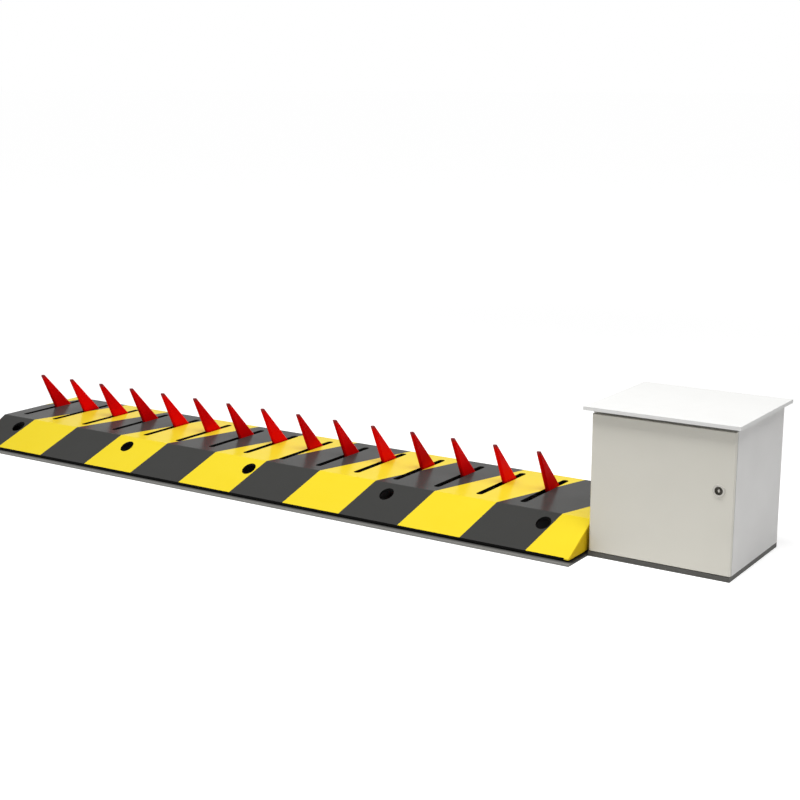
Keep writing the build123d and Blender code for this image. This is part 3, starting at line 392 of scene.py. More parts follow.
# The road plate is lighter at its long rims and near-black further in, under the ramps: painted shade.
ROAD_PLATE = FadedFinish(
    "rolled_plate_painted_shade",
    "#8C8B87",
    "#82817D",
    "galvanised_plate",
    roughness=0.6,
    relief_mm=0.06,
    way=Way.ACROSS,
    from_mm=ROAD_EDGE_MM,
    to_mm=ROAD_EDGE_MM - SHADE_FADE_MM,
)
# Primer soaks up light: nearly no highlight.
BLACK_PRIMER = Finish("matt_black_primer", "#101010", "#0C0C0C", "black_primer", roughness=0.7, ior=1.2)
# Turned, drawn and ground steel keep fine lines from the tool and a film of oil.
MACHINED_STEEL = MetalFinish(
    "turned_steel", "#A9ABAE", "#94979B", "machined_steel", roughness=0.34, grain_mm=1.2
)
SHAFT_STEEL = MetalFinish(
    "drawn_steel_bar",
    "#A0A3A6",
    "#8B8E92",
    "machined_steel",
    roughness=0.3,
    grain=Grain.ALONG_X,
    grain_mm=1.5,
)
ROLLER_STEEL = MetalFinish(
    "ground_hard_steel", "#B4B6B8", "#A3A6A9", "hardened_steel", roughness=0.2, grain_mm=1.0
)
# Hard chrome is ground and polished until it is nearly a mirror.
ROD_CHROME = MetalFinish("hard_chromed_rod", "#D9DBDD", "#CED1D4", "chromed_rod", roughness=0.1)
# Turned bronze is as bright as steel, in a warm brown.
BUSH_BRONZE = MetalFinish("turned_bronze", "#B07F45", "#9A6B35", "bronze", roughness=0.32, grain_mm=1.2)
# Plated zinc castings are a dull, pale grey. The lock's recess is dark grey: part blackened zinc, part
# painted shade of the deep recess.
LOCK_ZINC = Finish(
    "plated_zinc_casting", "#CFCCC4", "#C5C2BA", "lock_zinc", roughness=0.55, metallic=0.2
)
LOCK_BLACK_AND_SHADE = Finish("blackened_zinc_and_shade", "#5A574D", "#514E45", "lock_zinc", roughness=0.6)
# Enamel on castings and tanks lies thick and glossy, with a slight orange peel.
BLACK_ENAMEL = Finish(
    "black_enamel", "#1D1E20", "#161719", "black_enamel", roughness=0.32, coat=0.3, grain_mm=5.0
)
TANK_ENAMEL = Finish(
    "blue_grey_enamel", "#5F6A72", "#566068", "tank_enamel", roughness=0.36, coat=0.2, grain_mm=5.0
)
MOTOR_ENAMEL = Finish("grey_blue_enamel", "#3F5468", "#374A5C", "motor_enamel", coat=0.2)
# Cast iron keeps the rough, dark skin of its sand mould.
PUMP_IRON = Finish(
    "as_cast_iron", "#4A4A48", "#3E3E3C", "cast_iron_pump", roughness=0.7, metallic=0.6, relief_mm=0.2
)
# A milled block shows the upright lines of the cutter.
VALVE_ALUMINIUM = MetalFinish(
    "milled_aluminium",
    "#C3C6C9",
    "#B4B8BC",
    "valve_aluminium",
    roughness=0.33,
    grain=Grain.ALONG_Z,
    grain_mm=1.5,
)
# Moulded plastics and rubber carry a fine spark-eroded matt from the mould.
COIL_PLASTIC = Finish(
    "moulded_coil_cover", "#1F2022", "#191A1C", "coil_plastic", roughness=0.5, grain_mm=1.5
)
KNOB_PLASTIC = Finish("moulded_knob", "#1A1A1C", "#141416", "knob_plastic", roughness=0.42, grain_mm=1.5)
FAN_PLASTIC = Finish("moulded_fan", "#26272A", "#1F2023", "fan_plastic", roughness=0.5, grain_mm=1.5)
BOX_PLASTIC = Finish("moulded_grey_box", "#BDBFBD", "#B4B6B4", "box_plastic", roughness=0.48, grain_mm=1.5)
GASKET_RUBBER = Finish(
    "foamed_rubber", "#1C1C1C", "#151515", "gasket_rubber", roughness=0.85, grain_mm=1.0
)
HOSE_RUBBER = Finish("hose_cover", "#191919", "#131313", "hose_rubber", roughness=0.6, grain_mm=1.2)
# Zinc plating on small fasteners is bright with a cool cast.
PLATED_STEEL = MetalFinish("zinc_plated_steel", "#B9BCC0", "#A6AAAF", "machined_steel", roughness=0.28)
# The gauge has a smooth, bright case, and flat printing on its dial.
GAUGE_STEEL = MetalFinish("pressed_steel_case", "#B9BBBD", "#AAADAF", "gauge_steel", roughness=0.3)
DIAL_WHITE = Finish("printed_dial", "#EFEFEA", "#E6E6E1", "gauge_steel", roughness=0.6, relief_mm=0.004)
DIAL_BLACK = Finish("dial_ink", "#151515", "#101010", "gauge_steel", roughness=0.6, relief_mm=0.004)
# Flat glass shows only by its reflections; oil behind it glows amber.
GAUGE_GLASS = Finish(
    "flat_glass", "#FFFFFF", "#FBFDFD", "gauge_steel", roughness=0.03, spread=0.01, clear=1.0
)
OIL_GLASS = Finish("oil_behind_glass", "#B98A1E", "#A67A16", "tank_enamel", roughness=0.15, coat=0.5)


# Dressing CAD nodes and adding pieces


def dress(finish: Finish, *nodes: str) -> None:
    """Give CAD nodes a finish.

    Args:
        finish: the surface that they get.
        *nodes: the nodes' names.
    """
    for name in nodes:
        mesh = NODES[name].data
        mesh.materials.clear()
        mesh.materials.append(finish.material())
        LOG.info("%s: %s", name, finish.name)


def dress_faces(node: str, finish: Finish, chosen: FaceTest) -> None:
    """Give some faces of a dressed CAD node another finish.

    Args:
        node: the node's name.
        finish: the surface of the chosen faces.
        chosen: takes a face's middle and its outward direction.
    """
    mesh = NODES[node].data
    mesh.materials.append(finish.material())
    for face in mesh.polygons:
        if chosen(face.center, face.normal):
            face.material_index = len(mesh.materials) - 1


def middle_of(node: str) -> Vector:
    """Return the middle of a CAD node's box."""
    low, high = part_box(node)
    return (low + high) / 2


def points_of(node: str) -> list[Vector]:
    """Return the points of a CAD node's mesh."""
    return [vertex.co for vertex in NODES[node].data.vertices]


def front_span(node: str) -> tuple[float, float]:
    """Measure how high a CAD node's front face lies.

    Args:
        node: the node's name.

    Returns:
        The heights of the face's lowest and highest points, in metres.
    """
    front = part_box(node)[0].y + SINK
    heights = [point.z for point in points_of(node) if point.y < front]
    return min(heights), max(heights)


def add_piece(name: str, mesh: bpy.types.Mesh, finish: Finish = PLATED_STEEL, body: str = "base") -> None:
    """Add a small piece that rides on a CAD body.

    Args:
        name: the piece's name.
        mesh: its mesh, in metres.
        finish: its surface; most small pieces are plated fasteners.
        body: the body that it moves with.
    """
    mesh.name = name
    mesh.materials.append(finish.material())
    piece = bpy.data.objects.new(name, mesh)
    bpy.context.scene.collection.objects.link(piece)
    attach(piece, body)
    LOG.info("%s on %s: %s", name, body, finish.name)


def finished_mesh(shape: bmesh.types.BMesh, smooth: bool) -> bpy.types.Mesh:
    """Turn a built shape into a mesh with outward faces.

    Args:
        shape: the shape, which is used up.
        smooth: shade round faces smoothly, with sharp edges kept.

    Returns:
        The mesh.
    """
    bmesh.ops.recalc_face_normals(shape, faces=shape.faces[:])
    mesh = bpy.data.meshes.new("piece")
    shape.to_mesh(mesh)
    shape.free()
    if smooth:
        mesh.shade_smooth()
        mesh.set_sharp_from_angle(angle=math.radians(SHARP_DEG))
    return mesh


def joined(*meshes: bpy.types.Mesh) -> bpy.types.Mesh:
    """Put several meshes into the first one.

    Args:
        *meshes: the meshes.

    Returns:
        The first mesh, which now holds them all.
    """
    shape = bmesh.new()
    for mesh in meshes:
        shape.from_mesh(mesh)
    shape.to_mesh(meshes[0])
    shape.free()
    return meshes[0]


def turned(
    places: Iterable[Point], axis: Point, profile: Profile, sides: int = 24, ring: bool = False
) -> bpy.types.Mesh:
    """Turn one profile about an axis at each of several places.

    Args:
        places: where each copy stands, in metres.
        axis: the direction that the profile's heights run along.
        profile: radius and height of each step in millimetres, from one end to the other.
        sides: number of flats round the axis; six make a hexagon.
        ring: join the profile's end to its start, which leaves a hole in the middle.

    Returns:
        A mesh of closed solids.
    """
    shape = bmesh.new()
    spin = Vector(UP).rotation_difference(Vector(axis)).to_matrix().to_4x4()
    turns = [2 * math.pi * k / sides for k in range(sides)]
    for place in places:
        stand = Matrix.Translation(Vector(place)) @ spin
        steps = []
        for radius, height in profile:
            spots = [Vector((radius * math.cos(t), radius * math.sin(t), height)) * MM for t in turns]
            steps.append([shape.verts.new(stand @ spot) for spot in spots])
        pairs = list(zip(steps, steps[1:]))
        if ring:
            pairs.append((steps[-1], steps[0]))
        else:
            shape.faces.new(steps[0])
            shape.faces.new(steps[-1])
        for lower, upper in pairs:
            for k in range(sides):
                after = (k + 1) % sides
                shape.faces.new((lower[k], lower[after], upper[after], upper[k]))
    return finished_mesh(shape, smooth=sides > MOST_FLATS)


def boxes(stands: Iterable[Matrix], size_mm: Point, bevel_mm: float) -> bpy.types.Mesh:
    """Make equal boxes with softened edges.

    Args:
        stands: where each box's middle is and how it is turned.
        size_mm: width, depth and height before turning.
        bevel_mm: width of the softened edges.

    Returns:
        The mesh.
    """
    shape = bmesh.new()
    scale = Matrix.Diagonal((*(Vector(size_mm) * MM), 1.0))
    for stand in stands:
        bmesh.ops.create_cube(shape, size=1.0, matrix=stand @ scale)
    edges, width = shape.edges[:], bevel_mm * MM
    bmesh.ops.bevel(shape, geom=edges, offset=width, segments=2, affect="EDGES", profile=0.5)
    return finished_mesh(shape, smooth=False)


def boxed(low: Point, high: Point, bevel_mm: float) -> bpy.types.Mesh:
    """Make one box between two corners in metres, with softened edges of a width in millimetres."""
    size_mm = (Vector(high) - Vector(low)) / MM
    return boxes([Matrix.Translation((Vector(high) + Vector(low)) / 2)], size_mm, bevel_mm)


class Head(Enum):
    """Shape of a screw head."""

    HEX = "hexagon on a washer"
    SOCKET = "round with a socket"


def heads(places: Iterable[Point], axis: Point, thread_mm: float, head: Head) -> bpy.types.Mesh:
    """Make screw heads that stand on a face, in the usual proportions to their thread.

    Args:
        places: points on the face, in metres.
        axis: the direction out of the face.
        thread_mm: the screw's size, which sets the head's.
        head: the head's shape.

    Returns:
        The mesh.
    """
    spots = list(places)
    if head is Head.HEX:
        disc, disc_top = 1.1 * thread_mm, 0.2 * thread_mm
        corner, corner_top = 0.92 * thread_mm, 0.78 * thread_mm
        crown, crown_top = 0.8 * thread_mm, 0.85 * thread_mm
        washer = turned(spots, axis, [(disc, -SINK_MM), (disc, disc_top)])
        flats = [(corner, disc_top), (corner, corner_top), (crown, crown_top)]
        return joined(washer, turned(spots, axis, flats, sides=6))
    wall, wall_top = 0.75 * thread_mm, 0.9 * thread_mm
    crown, crown_top = 0.68 * thread_mm, thread_mm
    socket, socket_floor = 0.45 * thread_mm, 0.5 * thread_mm
    outside = [(wall, -SINK_MM), (wall, wall_top), (crown, crown_top)]
    return turned(spots, axis, [*outside, (socket, crown_top), (socket, socket_floor)], sides=18)


def round_places(centre: Point, radius_mm: float, count: int) -> list[Vector]:
    """Return points evenly round an upright axis, the first of them half a step from +X."""
    turns = [2 * math.pi * (k + 0.5) / count for k in range(count)]
    return [Vector(centre) + Vector((math.cos(t), math.sin(t), 0)) * radius_mm * MM for t in turns]


# Sub-assemblies


class SubAssembly(ABC):
    """A group of pieces that are dressed and fitted together."""

    @abstractmethod
    def build(self) -> None:
        """Dress the group's CAD nodes and add its small pieces."""


@dataclass
class RoadHousing(SubAssembly):
    """Ramped housing across the lane: painted cover, dark frame below and road plate.

    Attributes:
        rib_count: cross plates under the deck.
        shadow_foot_mm: height below which the end plates are near-black primer, a painted shadow along
            their foot.
    """

    rib_count: int = 4
    shadow_foot_mm: float = 16.5

    def build(self) -> None:
        """Paint the cover in bands; leave cut edges, the end plates' foot and the frame in near-black
        primer, which also paints shade.
        """
        cover = ("deck_plate", "front_ramp_plate", "rear_ramp_plate")
        ends = ("left_end_plate", "right_end_plate")
        ribs = [f"rib_{k + 1}" for k in range(self.rib_count)]
        dress(HAZARD_PAINT, *cover, *ends)
        # Cut edges, slot walls and hole walls go near-black: part bare primer, part painted shade inside
        # the slots and under the ramps' foot.
        for plate in cover:
            dress_faces(plate, BLACK_PRIMER, lambda middle, out: out.z < FACING)
        for plate in ends:
            # Painted shade: the end plates' outer faces take a deeper yellow.
            dress_faces(plate, END_PAINT_SHADED, lambda middle, out: abs(out.x) > FACING)
            # Painted shadow: the end plates' lowest strip is near-black, where a shadow gap would be.
            dress_faces(plate, BLACK_PRIMER, lambda middle, out: middle.z < self.shadow_foot_mm * MM)
        dress(ROAD_PLATE, "base_plate")
        dress(BLACK_PRIMER, "front_sill", "rear_sill", *ribs)
        dress(BUSH_BRONZE, "shaft_bushes")


@dataclass
class SpikeRow(SubAssembly):
    """Row of spikes on one shaft, with its crank.

    Attributes:
        spike_count: number of spikes.
        end_bolt_mm: thread of the bolt in the shaft's end.
    """

    spike_count: int = 15
    end_bolt_mm: float = 12.0

    def build(self) -> None:
        """Paint the spikes, leave the shaft bright and bolt its end."""
        dress(SPIKE_ENAMEL, *(f"spike_{k + 1:02d}" for k in range(self.spike_count)))
        dress(SHAFT_STEEL, "spike_shaft")
        dress(MACHINED_STEEL, "crank_arm")
        dress(ROLLER_STEEL, "crank_roller")
        end = middle_of("spike_shaft")
        end.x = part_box("spike_shaft")[1].x
        bolt = heads([end], ALONG_X, self.end_bolt_mm, Head.HEX)
        add_piece("shaft_end_bolt", bolt, body="spike_row")


@dataclass
class DriveCabinet(SubAssembly):
    """Sheet-metal cabinet with its door and lock.

    Attributes:
        sheet_mm: thickness of the sheet.
        recess_mm: depth of the lock's recess.
        recess_radius_mm: radius of the lock's recess.
        stiffener_mm: width, depth and end distance of the door's inner stiffener.
        wall_bolt_mm: thread of the bolts to the barrier's end plate.
        wall_bolts_mm: their places, across and up.
        sleeve_mm: inner and outer radius of the sleeves on them.
    """

    sheet_mm: float = 2.0
    recess_mm: float = 8.0
    recess_radius_mm: float = 15.5
    stiffener_mm: Point = (60.0, 9.0, 70.0)
    wall_bolt_mm: float = 10.0
    wall_bolts_mm: Sequence[tuple[float, float]] = ((-190, 60), (-70, 60), (30, 92), (165, 60))
    sleeve_mm: tuple[float, float] = (5.5, 10.0)

    def build(self) -> None:
        """Coat the sheet metal and fit the small parts."""
        # Painted light: the walls take a brighter copy of the door's powder coat.
        dress(WALL_POWDER_BRIGHTENED, "cabinet_left_wall", "cabinet_right_wall", "cabinet_back_wall", "door_frame")
        dress(DOOR_POWDER, "door_panel")
        dress(ROOF_POWDER, "cabinet_roof")
        dress_faces("cabinet_roof", ROOF_PRIMER, lambda middle, out: out.z < -FACING)
        dress(PLINTH_PAINT, "cabinet_base")
        dress(GASKET_RUBBER, "door_gasket")
        dress(MACHINED_STEEL, "door_hinge_pins", "lock_cam")
        self.dress_lock()
        self.stiffen_door()
        self.bolt_to_housing()

    def dress_lock(self) -> None:
        """Plate the lock and darken its recess, part blackening and part painted shade."""
        dress(LOCK_ZINC, "lock_body", "lock_core")
        centre, front = middle_of("lock_body"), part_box("lock_body")[0].y
        reach = self.recess_radius_mm * MM + SINK
        floor = front + self.recess_mm * MM

        def in_recess(middle: Vector, out: Vector) -> bool:
            """Tell whether a face of the lock's body lies in the recess."""
            away = math.hypot(middle.x - centre.x, middle.z - centre.z)
            return away < reach and middle.y > front + SINK

        # Painted shade: the recess's faces get the dark finish, besides the blackening.
        dress_faces("lock_body", LOCK_BLACK_AND_SHADE, in_recess)
        dress_faces("lock_core", LOCK_BLACK_AND_SHADE, lambda middle, out: middle.y > floor - SINK)

    def stiffen_door(self) -> None:
        """Fix a folded stiffener to the inside of the door."""
        low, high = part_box("door_panel")
        width, depth, ends = (value * MM for value in self.stiffener_mm)
        back = low.y + self.sheet_mm * MM
        middle = (low.x + high.x) / 2
        near = (middle - width / 2, back - SINK, low.z + ends)
        far = (middle + width / 2, back + depth, high.z - ends)
        add_piece("door_stiffener", boxed(near, far, bevel_mm=2.0), DOOR_POWDER, "door")

    def bolt_to_housing(self) -> None:
        """Bolt the left wall to the barrier's end plate, with a sleeve on each bolt to span the gap."""
        wall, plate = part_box("cabinet_left_wall")[0].x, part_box("right_end_plate")[1].x
        inside = wall + self.sheet_mm * MM
        spots = [(across * MM, up * MM) for across, up in self.wall_bolts_mm]
        bolts = heads([(inside, y, z) for y, z in spots], ALONG_X, self.wall_bolt_mm, Head.HEX)
        add_piece("wall_bolts", bolts)
        bore, rim = self.sleeve_mm
        gap = (wall - plate) / MM
        sleeve = [(bore, 0.0), (rim, 0.0), (rim, gap), (bore, gap)]
        sleeves = turned([(plate, y, z) for y, z in spots], ALONG_X, sleeve, ring=True)
        add_piece("wall_sleeves", sleeves)


@dataclass
class Cylinder(SubAssembly):
    """Hydraulic cylinder with its rod, stand and hoses.

    Attributes:
        tie_rod_mm: radius of the tie rods.
        tie_mm: distance of the tie rods from the axis, across and up.
        nut_mm: thread of their nuts.
        gland_mm: inner radius, outer radius and height of the gland ring.
        base_cap_mm: length of the rear end of the cylinder.
        gland_cap_mm: length of the front end.
        flange_mm: thickness of the stand's flange.
        flange_bolt_mm: thread of the flange bolts.
        flange_bolt_inset_mm: their distance from the flange's edges.
        ferrule_mm: length of the hose ferrules.
        hose_nut_mm: corner radius and height of the hose nuts.
        chamfer_mm: width of the chamfers on the gland ring and the hose nuts.
    """

    tie_rod_mm: float = 3.0
    tie_mm: float = 24.0
    nut_mm: float = 6.0
    gland_mm: Point = (11.6, 15.0, 3.0)
    base_cap_mm: float = 26.0
    gland_cap_mm: float = 30.0
    flange_mm: float = 8.0
    flange_bolt_mm: float = 8.0
    flange_bolt_inset_mm: float = 10.0
    ferrule_mm: float = 24.0
    hose_nut_mm: tuple[float, float] = (13.0, 9.0)
    chamfer_mm: float = 1.0

    def build(self) -> None:
        """Dress the cylinder and fit its rods, nuts and hose ends."""
        dress(BLACK_ENAMEL, "cylinder_body")
        dress(BLACK_PRIMER, "cylinder_stand")
        dress(ROD_CHROME, "piston_rod")
        dress(MACHINED_STEEL, "rod_yoke")
        self.fit_ties()
        self.bolt_stand()
        self.fit_hoses()

    def fit_ties(self) -> None:
        """Clamp the two ends together with tie rods and ring the gland."""
        low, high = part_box("cylinder_body")
        centre = (low + high) / 2
        step = self.tie_mm * MM
        spots = [(centre.x + a * step, centre.z + b * step) for a, b in CORNERS]
        length = (high.y - low.y) / MM
        start, end = self.base_cap_mm - SINK_MM, length - self.gland_cap_mm + SINK_MM
        rod = [(self.tie_rod_mm, start), (self.tie_rod_mm, end)]
        add_piece("tie_rods", turned([(x, low.y, z) for x, z in spots], ALONG_Y, rod, sides=16))
        front = heads([(x, high.y, z) for x, z in spots], ALONG_Y, self.nut_mm, Head.HEX)
        rear = heads([(x, low.y, z) for x, z in spots], TO_DOOR, self.nut_mm, Head.HEX)
        add_piece("tie_rod_nuts", joined(front, rear))
        inner, outer, height = self.gland_mm
        edge = [(outer, height - self.chamfer_mm), (outer - self.chamfer_mm, height)]
        section = [(inner, -SINK_MM), (outer, -SINK_MM), *edge, (inner, height)]
        gland = turned([(centre.x, high.y, centre.z)], ALONG_Y, section, sides=40, ring=True)
        add_piece("gland_ring", gland, BUSH_BRONZE)

    def bolt_stand(self) -> None:
        """Bolt the stand to the cabinet floor."""
        low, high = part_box("cylinder_stand")
        inset = self.flange_bolt_inset_mm * MM
        top = low.z + self.flange_mm * MM
        spots = product((low.x + inset, high.x - inset), (low.y + inset, high.y - inset))
        bolts = heads([(x, y, top) for x, y in spots], UP, self.flange_bolt_mm, Head.HEX)
        add_piece("stand_bolts", bolts)

    def fit_hoses(self) -> None:
        """Cover the hoses in rubber, with plated ferrules and hexagon nuts at their ends."""
        low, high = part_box("hydraulic_hoses")
        reach = self.ferrule_mm * MM + SINK

        def on_ferrule(middle: Vector, out: Vector) -> bool:
            """Tell whether a face lies on the ferrule at either end of a hose."""
            return middle.z < low.z + reach or middle.x > high.x - reach

        dress(HOSE_RUBBER, "hydraulic_hoses")
        dress_faces("hydraulic_hoses", PLATED_STEEL, on_ferrule)
        (radius, height), cut = self.hose_nut_mm, self.chamfer_mm
        nut = [(radius - cut, -SINK_MM), (radius, cut), (radius, height - cut), (radius - cut, height)]
        points = points_of("hydraulic_hoses")
        feet = self.pair_middles([point for point in points if point.z < low.z + SINK])
        sides = self.pair_middles([point for point in points if point.x > high.x - SINK])
        add_piece("cylinder_hose_nuts", turned(feet, UP, nut, sides=6))
        add_piece("valve_hose_nuts", turned(sides, AGAINST_X, nut, sides=6))

    @staticmethod
    def pair_middles(points: Sequence[Vector]) -> list[Vector]:
        """Find the middles of two rings of points, one in front of the other.

        Args:
            points: the points of both rings.

        Returns:
            The middle of the front ring and that of the rear one.
        """
        halfway = (min(point.y for point in points) + max(point.y for point in points)) / 2
        middles = []
        for ring in ([p for p in points if p.y < halfway], [p for p in points if p.y >= halfway]):
            low = Vector([min(point[k] for point in ring) for k in range(3)])
            high = Vector([max(point[k] for point in ring) for k in range(3)])
            middles.append((low + high) / 2)
        return middles


@dataclass
class Tank(SubAssembly):
    """Oil tank with its lid, sight glass, drain plug and filler cap.

    Attributes:
        lid_screw_mm: thread of the lid screws.
        lid_inset_mm: their distance from the lid's edge.
        sight_mm: width, depth and height of the sight glass's holder.
        sight_place_mm: its distance from the tank's left and from its foot.
        sight_bolt_mm: thread of its bolts.
        sight_end_mm: distance from its ends to its bolts, and from those to the glass.
        glass_mm: width of the glass and how far it stands out.
        oil_share: how full the glass is.
        drain_mm: thread of the drain plug.
        drain_place_mm: its distance from the tank's right and from its foot.
        rib_count: finger ribs on the filler cap.
        rib_mm: depth, width and height of a rib.
        rib_down_mm: depth of the ribs' middle below the cap's top.
    """

    lid_screw_mm: float = 6.0
    lid_inset_mm: float = 9.0
    sight_mm: Point = (26.0, 9.0, 130.0)
    sight_place_mm: tuple[float, float] = (40.0, 45.0)
    sight_bolt_mm: float = 8.0
    sight_end_mm: float = 16.0
    glass_mm: tuple[float, float] = (13.0, 1.2)
    oil_share: float = 0.7
    drain_mm: float = 14.0
    drain_place_mm: tuple[float, float] = (40.0, 22.0)
    rib_count: int = 20
    rib_mm: Point = (2.0, 2.6, 14.0)
    rib_down_mm: float = 14.0

    def build(self) -> None:
        """Dress the tank and fit its screws, sight glass and plug."""
        dress(TANK_ENAMEL, "oil_tank")
        dress(BLACK_ENAMEL, "tank_lid")
        dress(KNOB_PLASTIC, "filler_cap")
        self.screw_lid()
        self.fit_sight()
        self.plug_drain()
        self.rib_cap()

    def screw_lid(self) -> None:
        """Screw the lid down along its edges."""
        inset = Vector((1, 1, 0)) * self.lid_inset_mm * MM
        low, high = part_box("tank_lid")[0] + inset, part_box("tank_lid")[1] - inset
        middle = (low + high) / 2
        spots = [*product((low.x, middle.x, high.x), (low.y, high.y))]
        spots += [(low.x, middle.y), (high.x, middle.y)]
        screws = heads([(x, y, high.z) for x, y in spots], UP, self.lid_screw_mm, Head.SOCKET)
        add_piece("lid_screws", screws)

    def fit_sight(self) -> None:
        """Bolt an oil sight glass to the tank's front."""
        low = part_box("oil_tank")[0]
        width, depth, height = (value * MM for value in self.sight_mm)
        from_left, from_foot = (value * MM for value in self.sight_place_mm)
        left, foot, face = low.x + from_left, low.z + from_foot, low.y - depth
        holder = boxed((left, face, foot), (left + width, low.y + SINK, foot + height), bevel_mm=2.0)
        add_piece("sight_frame", holder, COIL_PLASTIC)
        middle, end = left + width / 2, self.sight_end_mm * MM
        places = [(middle, face, foot + end), (middle, face, foot + height - end)]
        add_piece("sight_bolts", heads(places, TO_DOOR, self.sight_bolt_mm, Head.HEX))
        half, proud = self.glass_mm[0] / 2 * MM, self.glass_mm[1] * MM
        bottom, top = foot + 2 * end, foot + height - 2 * end
        level = bottom + (top - bottom) * self.oil_share
        stretches = {"sight_oil": (bottom, level, OIL_GLASS), "sight_air": (level, top, DIAL_WHITE)}
        for name, (start, stop, finish) in stretches.items():
            near, far = (middle - half, face - proud, start), (middle + half, face + SINK, stop)
            add_piece(name, boxed(near, far, bevel_mm=0.5), finish)

    def plug_drain(self) -> None:
        """Plug the drain low on the tank's front."""
        low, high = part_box("oil_tank")
        from_right, from_foot = (value * MM for value in self.drain_place_mm)
        place = (high.x - from_right, low.y, low.z + from_foot)
        add_piece("drain_plug", heads([place], TO_DOOR, self.drain_mm, Head.HEX))

    def rib_cap(self) -> None:
        """Add finger ribs round the filler cap."""
        low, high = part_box("filler_cap")
        centre = Vector(((low.x + high.x) / 2, (low.y + high.y) / 2, high.z - self.rib_down_mm * MM))
        out = Matrix.Translation(((high.x - low.x) / 2, 0, 0))
        turns = [2 * math.pi * k / self.rib_count for k in range(self.rib_count)]
        stands = [Matrix.Translation(centre) @ Matrix.Rotation(turn, 4, "Z") @ out for turn in turns]
        add_piece("filler_ribs", boxes(stands, self.rib_mm, bevel_mm=0.5), KNOB_PLASTIC)


@dataclass
class Motor(SubAssembly):
    """Electric motor with its fan and the pump that it drives.

    Attributes:
        bell_screw_mm: thread of the flange screws.
        bell_circle_mm: radius of their circle.
        bell_top_mm: height of the flange.
        bell_screw_count: number of flange screws.
        cowl_screw_up_mm: height of the cowl's screws above its rim.
        cowl_screw_count: number of cowl screws.
        lid_side_mm: side of the terminal box's lid.
        lid_mm: thickness of that lid.
        lid_inset_mm: distance of its screws from its edges.
        small_screw_mm: thread of the lid's and the cowl's screws.
    """

    bell_screw_mm: float = 6.0
    bell_circle_mm: float = 67.0
    bell_top_mm: float = 10.0
    bell_screw_count: int = 8
    cowl_screw_up_mm: float = 8.0
    cowl_screw_count: int = 4
    lid_side_mm: float = 70.0
    lid_mm: float = 3.0
    lid_inset_mm: float = 8.0
    small_screw_mm: float = 4.0

    def build(self) -> None:
        """Dress motor and pump and fit the screws and the terminal box's lid."""
        dress(MOTOR_ENAMEL, "motor_body", "fan_cowl")
        dress(FAN_PLASTIC, "motor_fan")
        dress(PUMP_IRON, "pump")
        self.screw_down()
        self.close_terminals()

    def screw_down(self) -> None:
        """Screw the motor's flange down and its cowl on."""
        axis = middle_of("fan_cowl")
        foot = (axis.x, axis.y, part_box("motor_body")[0].z + self.bell_top_mm * MM)
        places = round_places(foot, self.bell_circle_mm, self.bell_screw_count)
        add_piece("bell_screws", heads(places, UP, self.bell_screw_mm, Head.SOCKET))
        low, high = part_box("fan_cowl")
        centre = Vector((axis.x, axis.y, low.z + self.cowl_screw_up_mm * MM))
        radius_mm = (high.x - low.x) / 2 / MM
        screws = [
            heads([place], (place - centre).normalized(), self.small_screw_mm, Head.SOCKET)
            for place in round_places(centre, radius_mm, self.cowl_screw_count)
        ]
        add_piece("cowl_screws", joined(*screws))

    def close_terminals(self) -> None:
        """Close the terminal box with a screwed lid."""
        across, front = middle_of("fan_cowl").x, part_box("motor_body")[0].y
        up = sum(front_span("motor_body")) / 2
        half, face = self.lid_side_mm / 2 * MM, front - self.lid_mm * MM
        near, far = (across - half, face, up - half), (across + half, front + SINK, up + half)
        add_piece("terminal_lid", boxed(near, far, bevel_mm=1.0), MOTOR_ENAMEL)
        step = half - self.lid_inset_mm * MM
        places = [(across + a * step, face, up + b * step) for a, b in CORNERS]
        add_piece("terminal_screws", heads(places, TO_DOOR, self.small_screw_mm, Head.SOCKET))


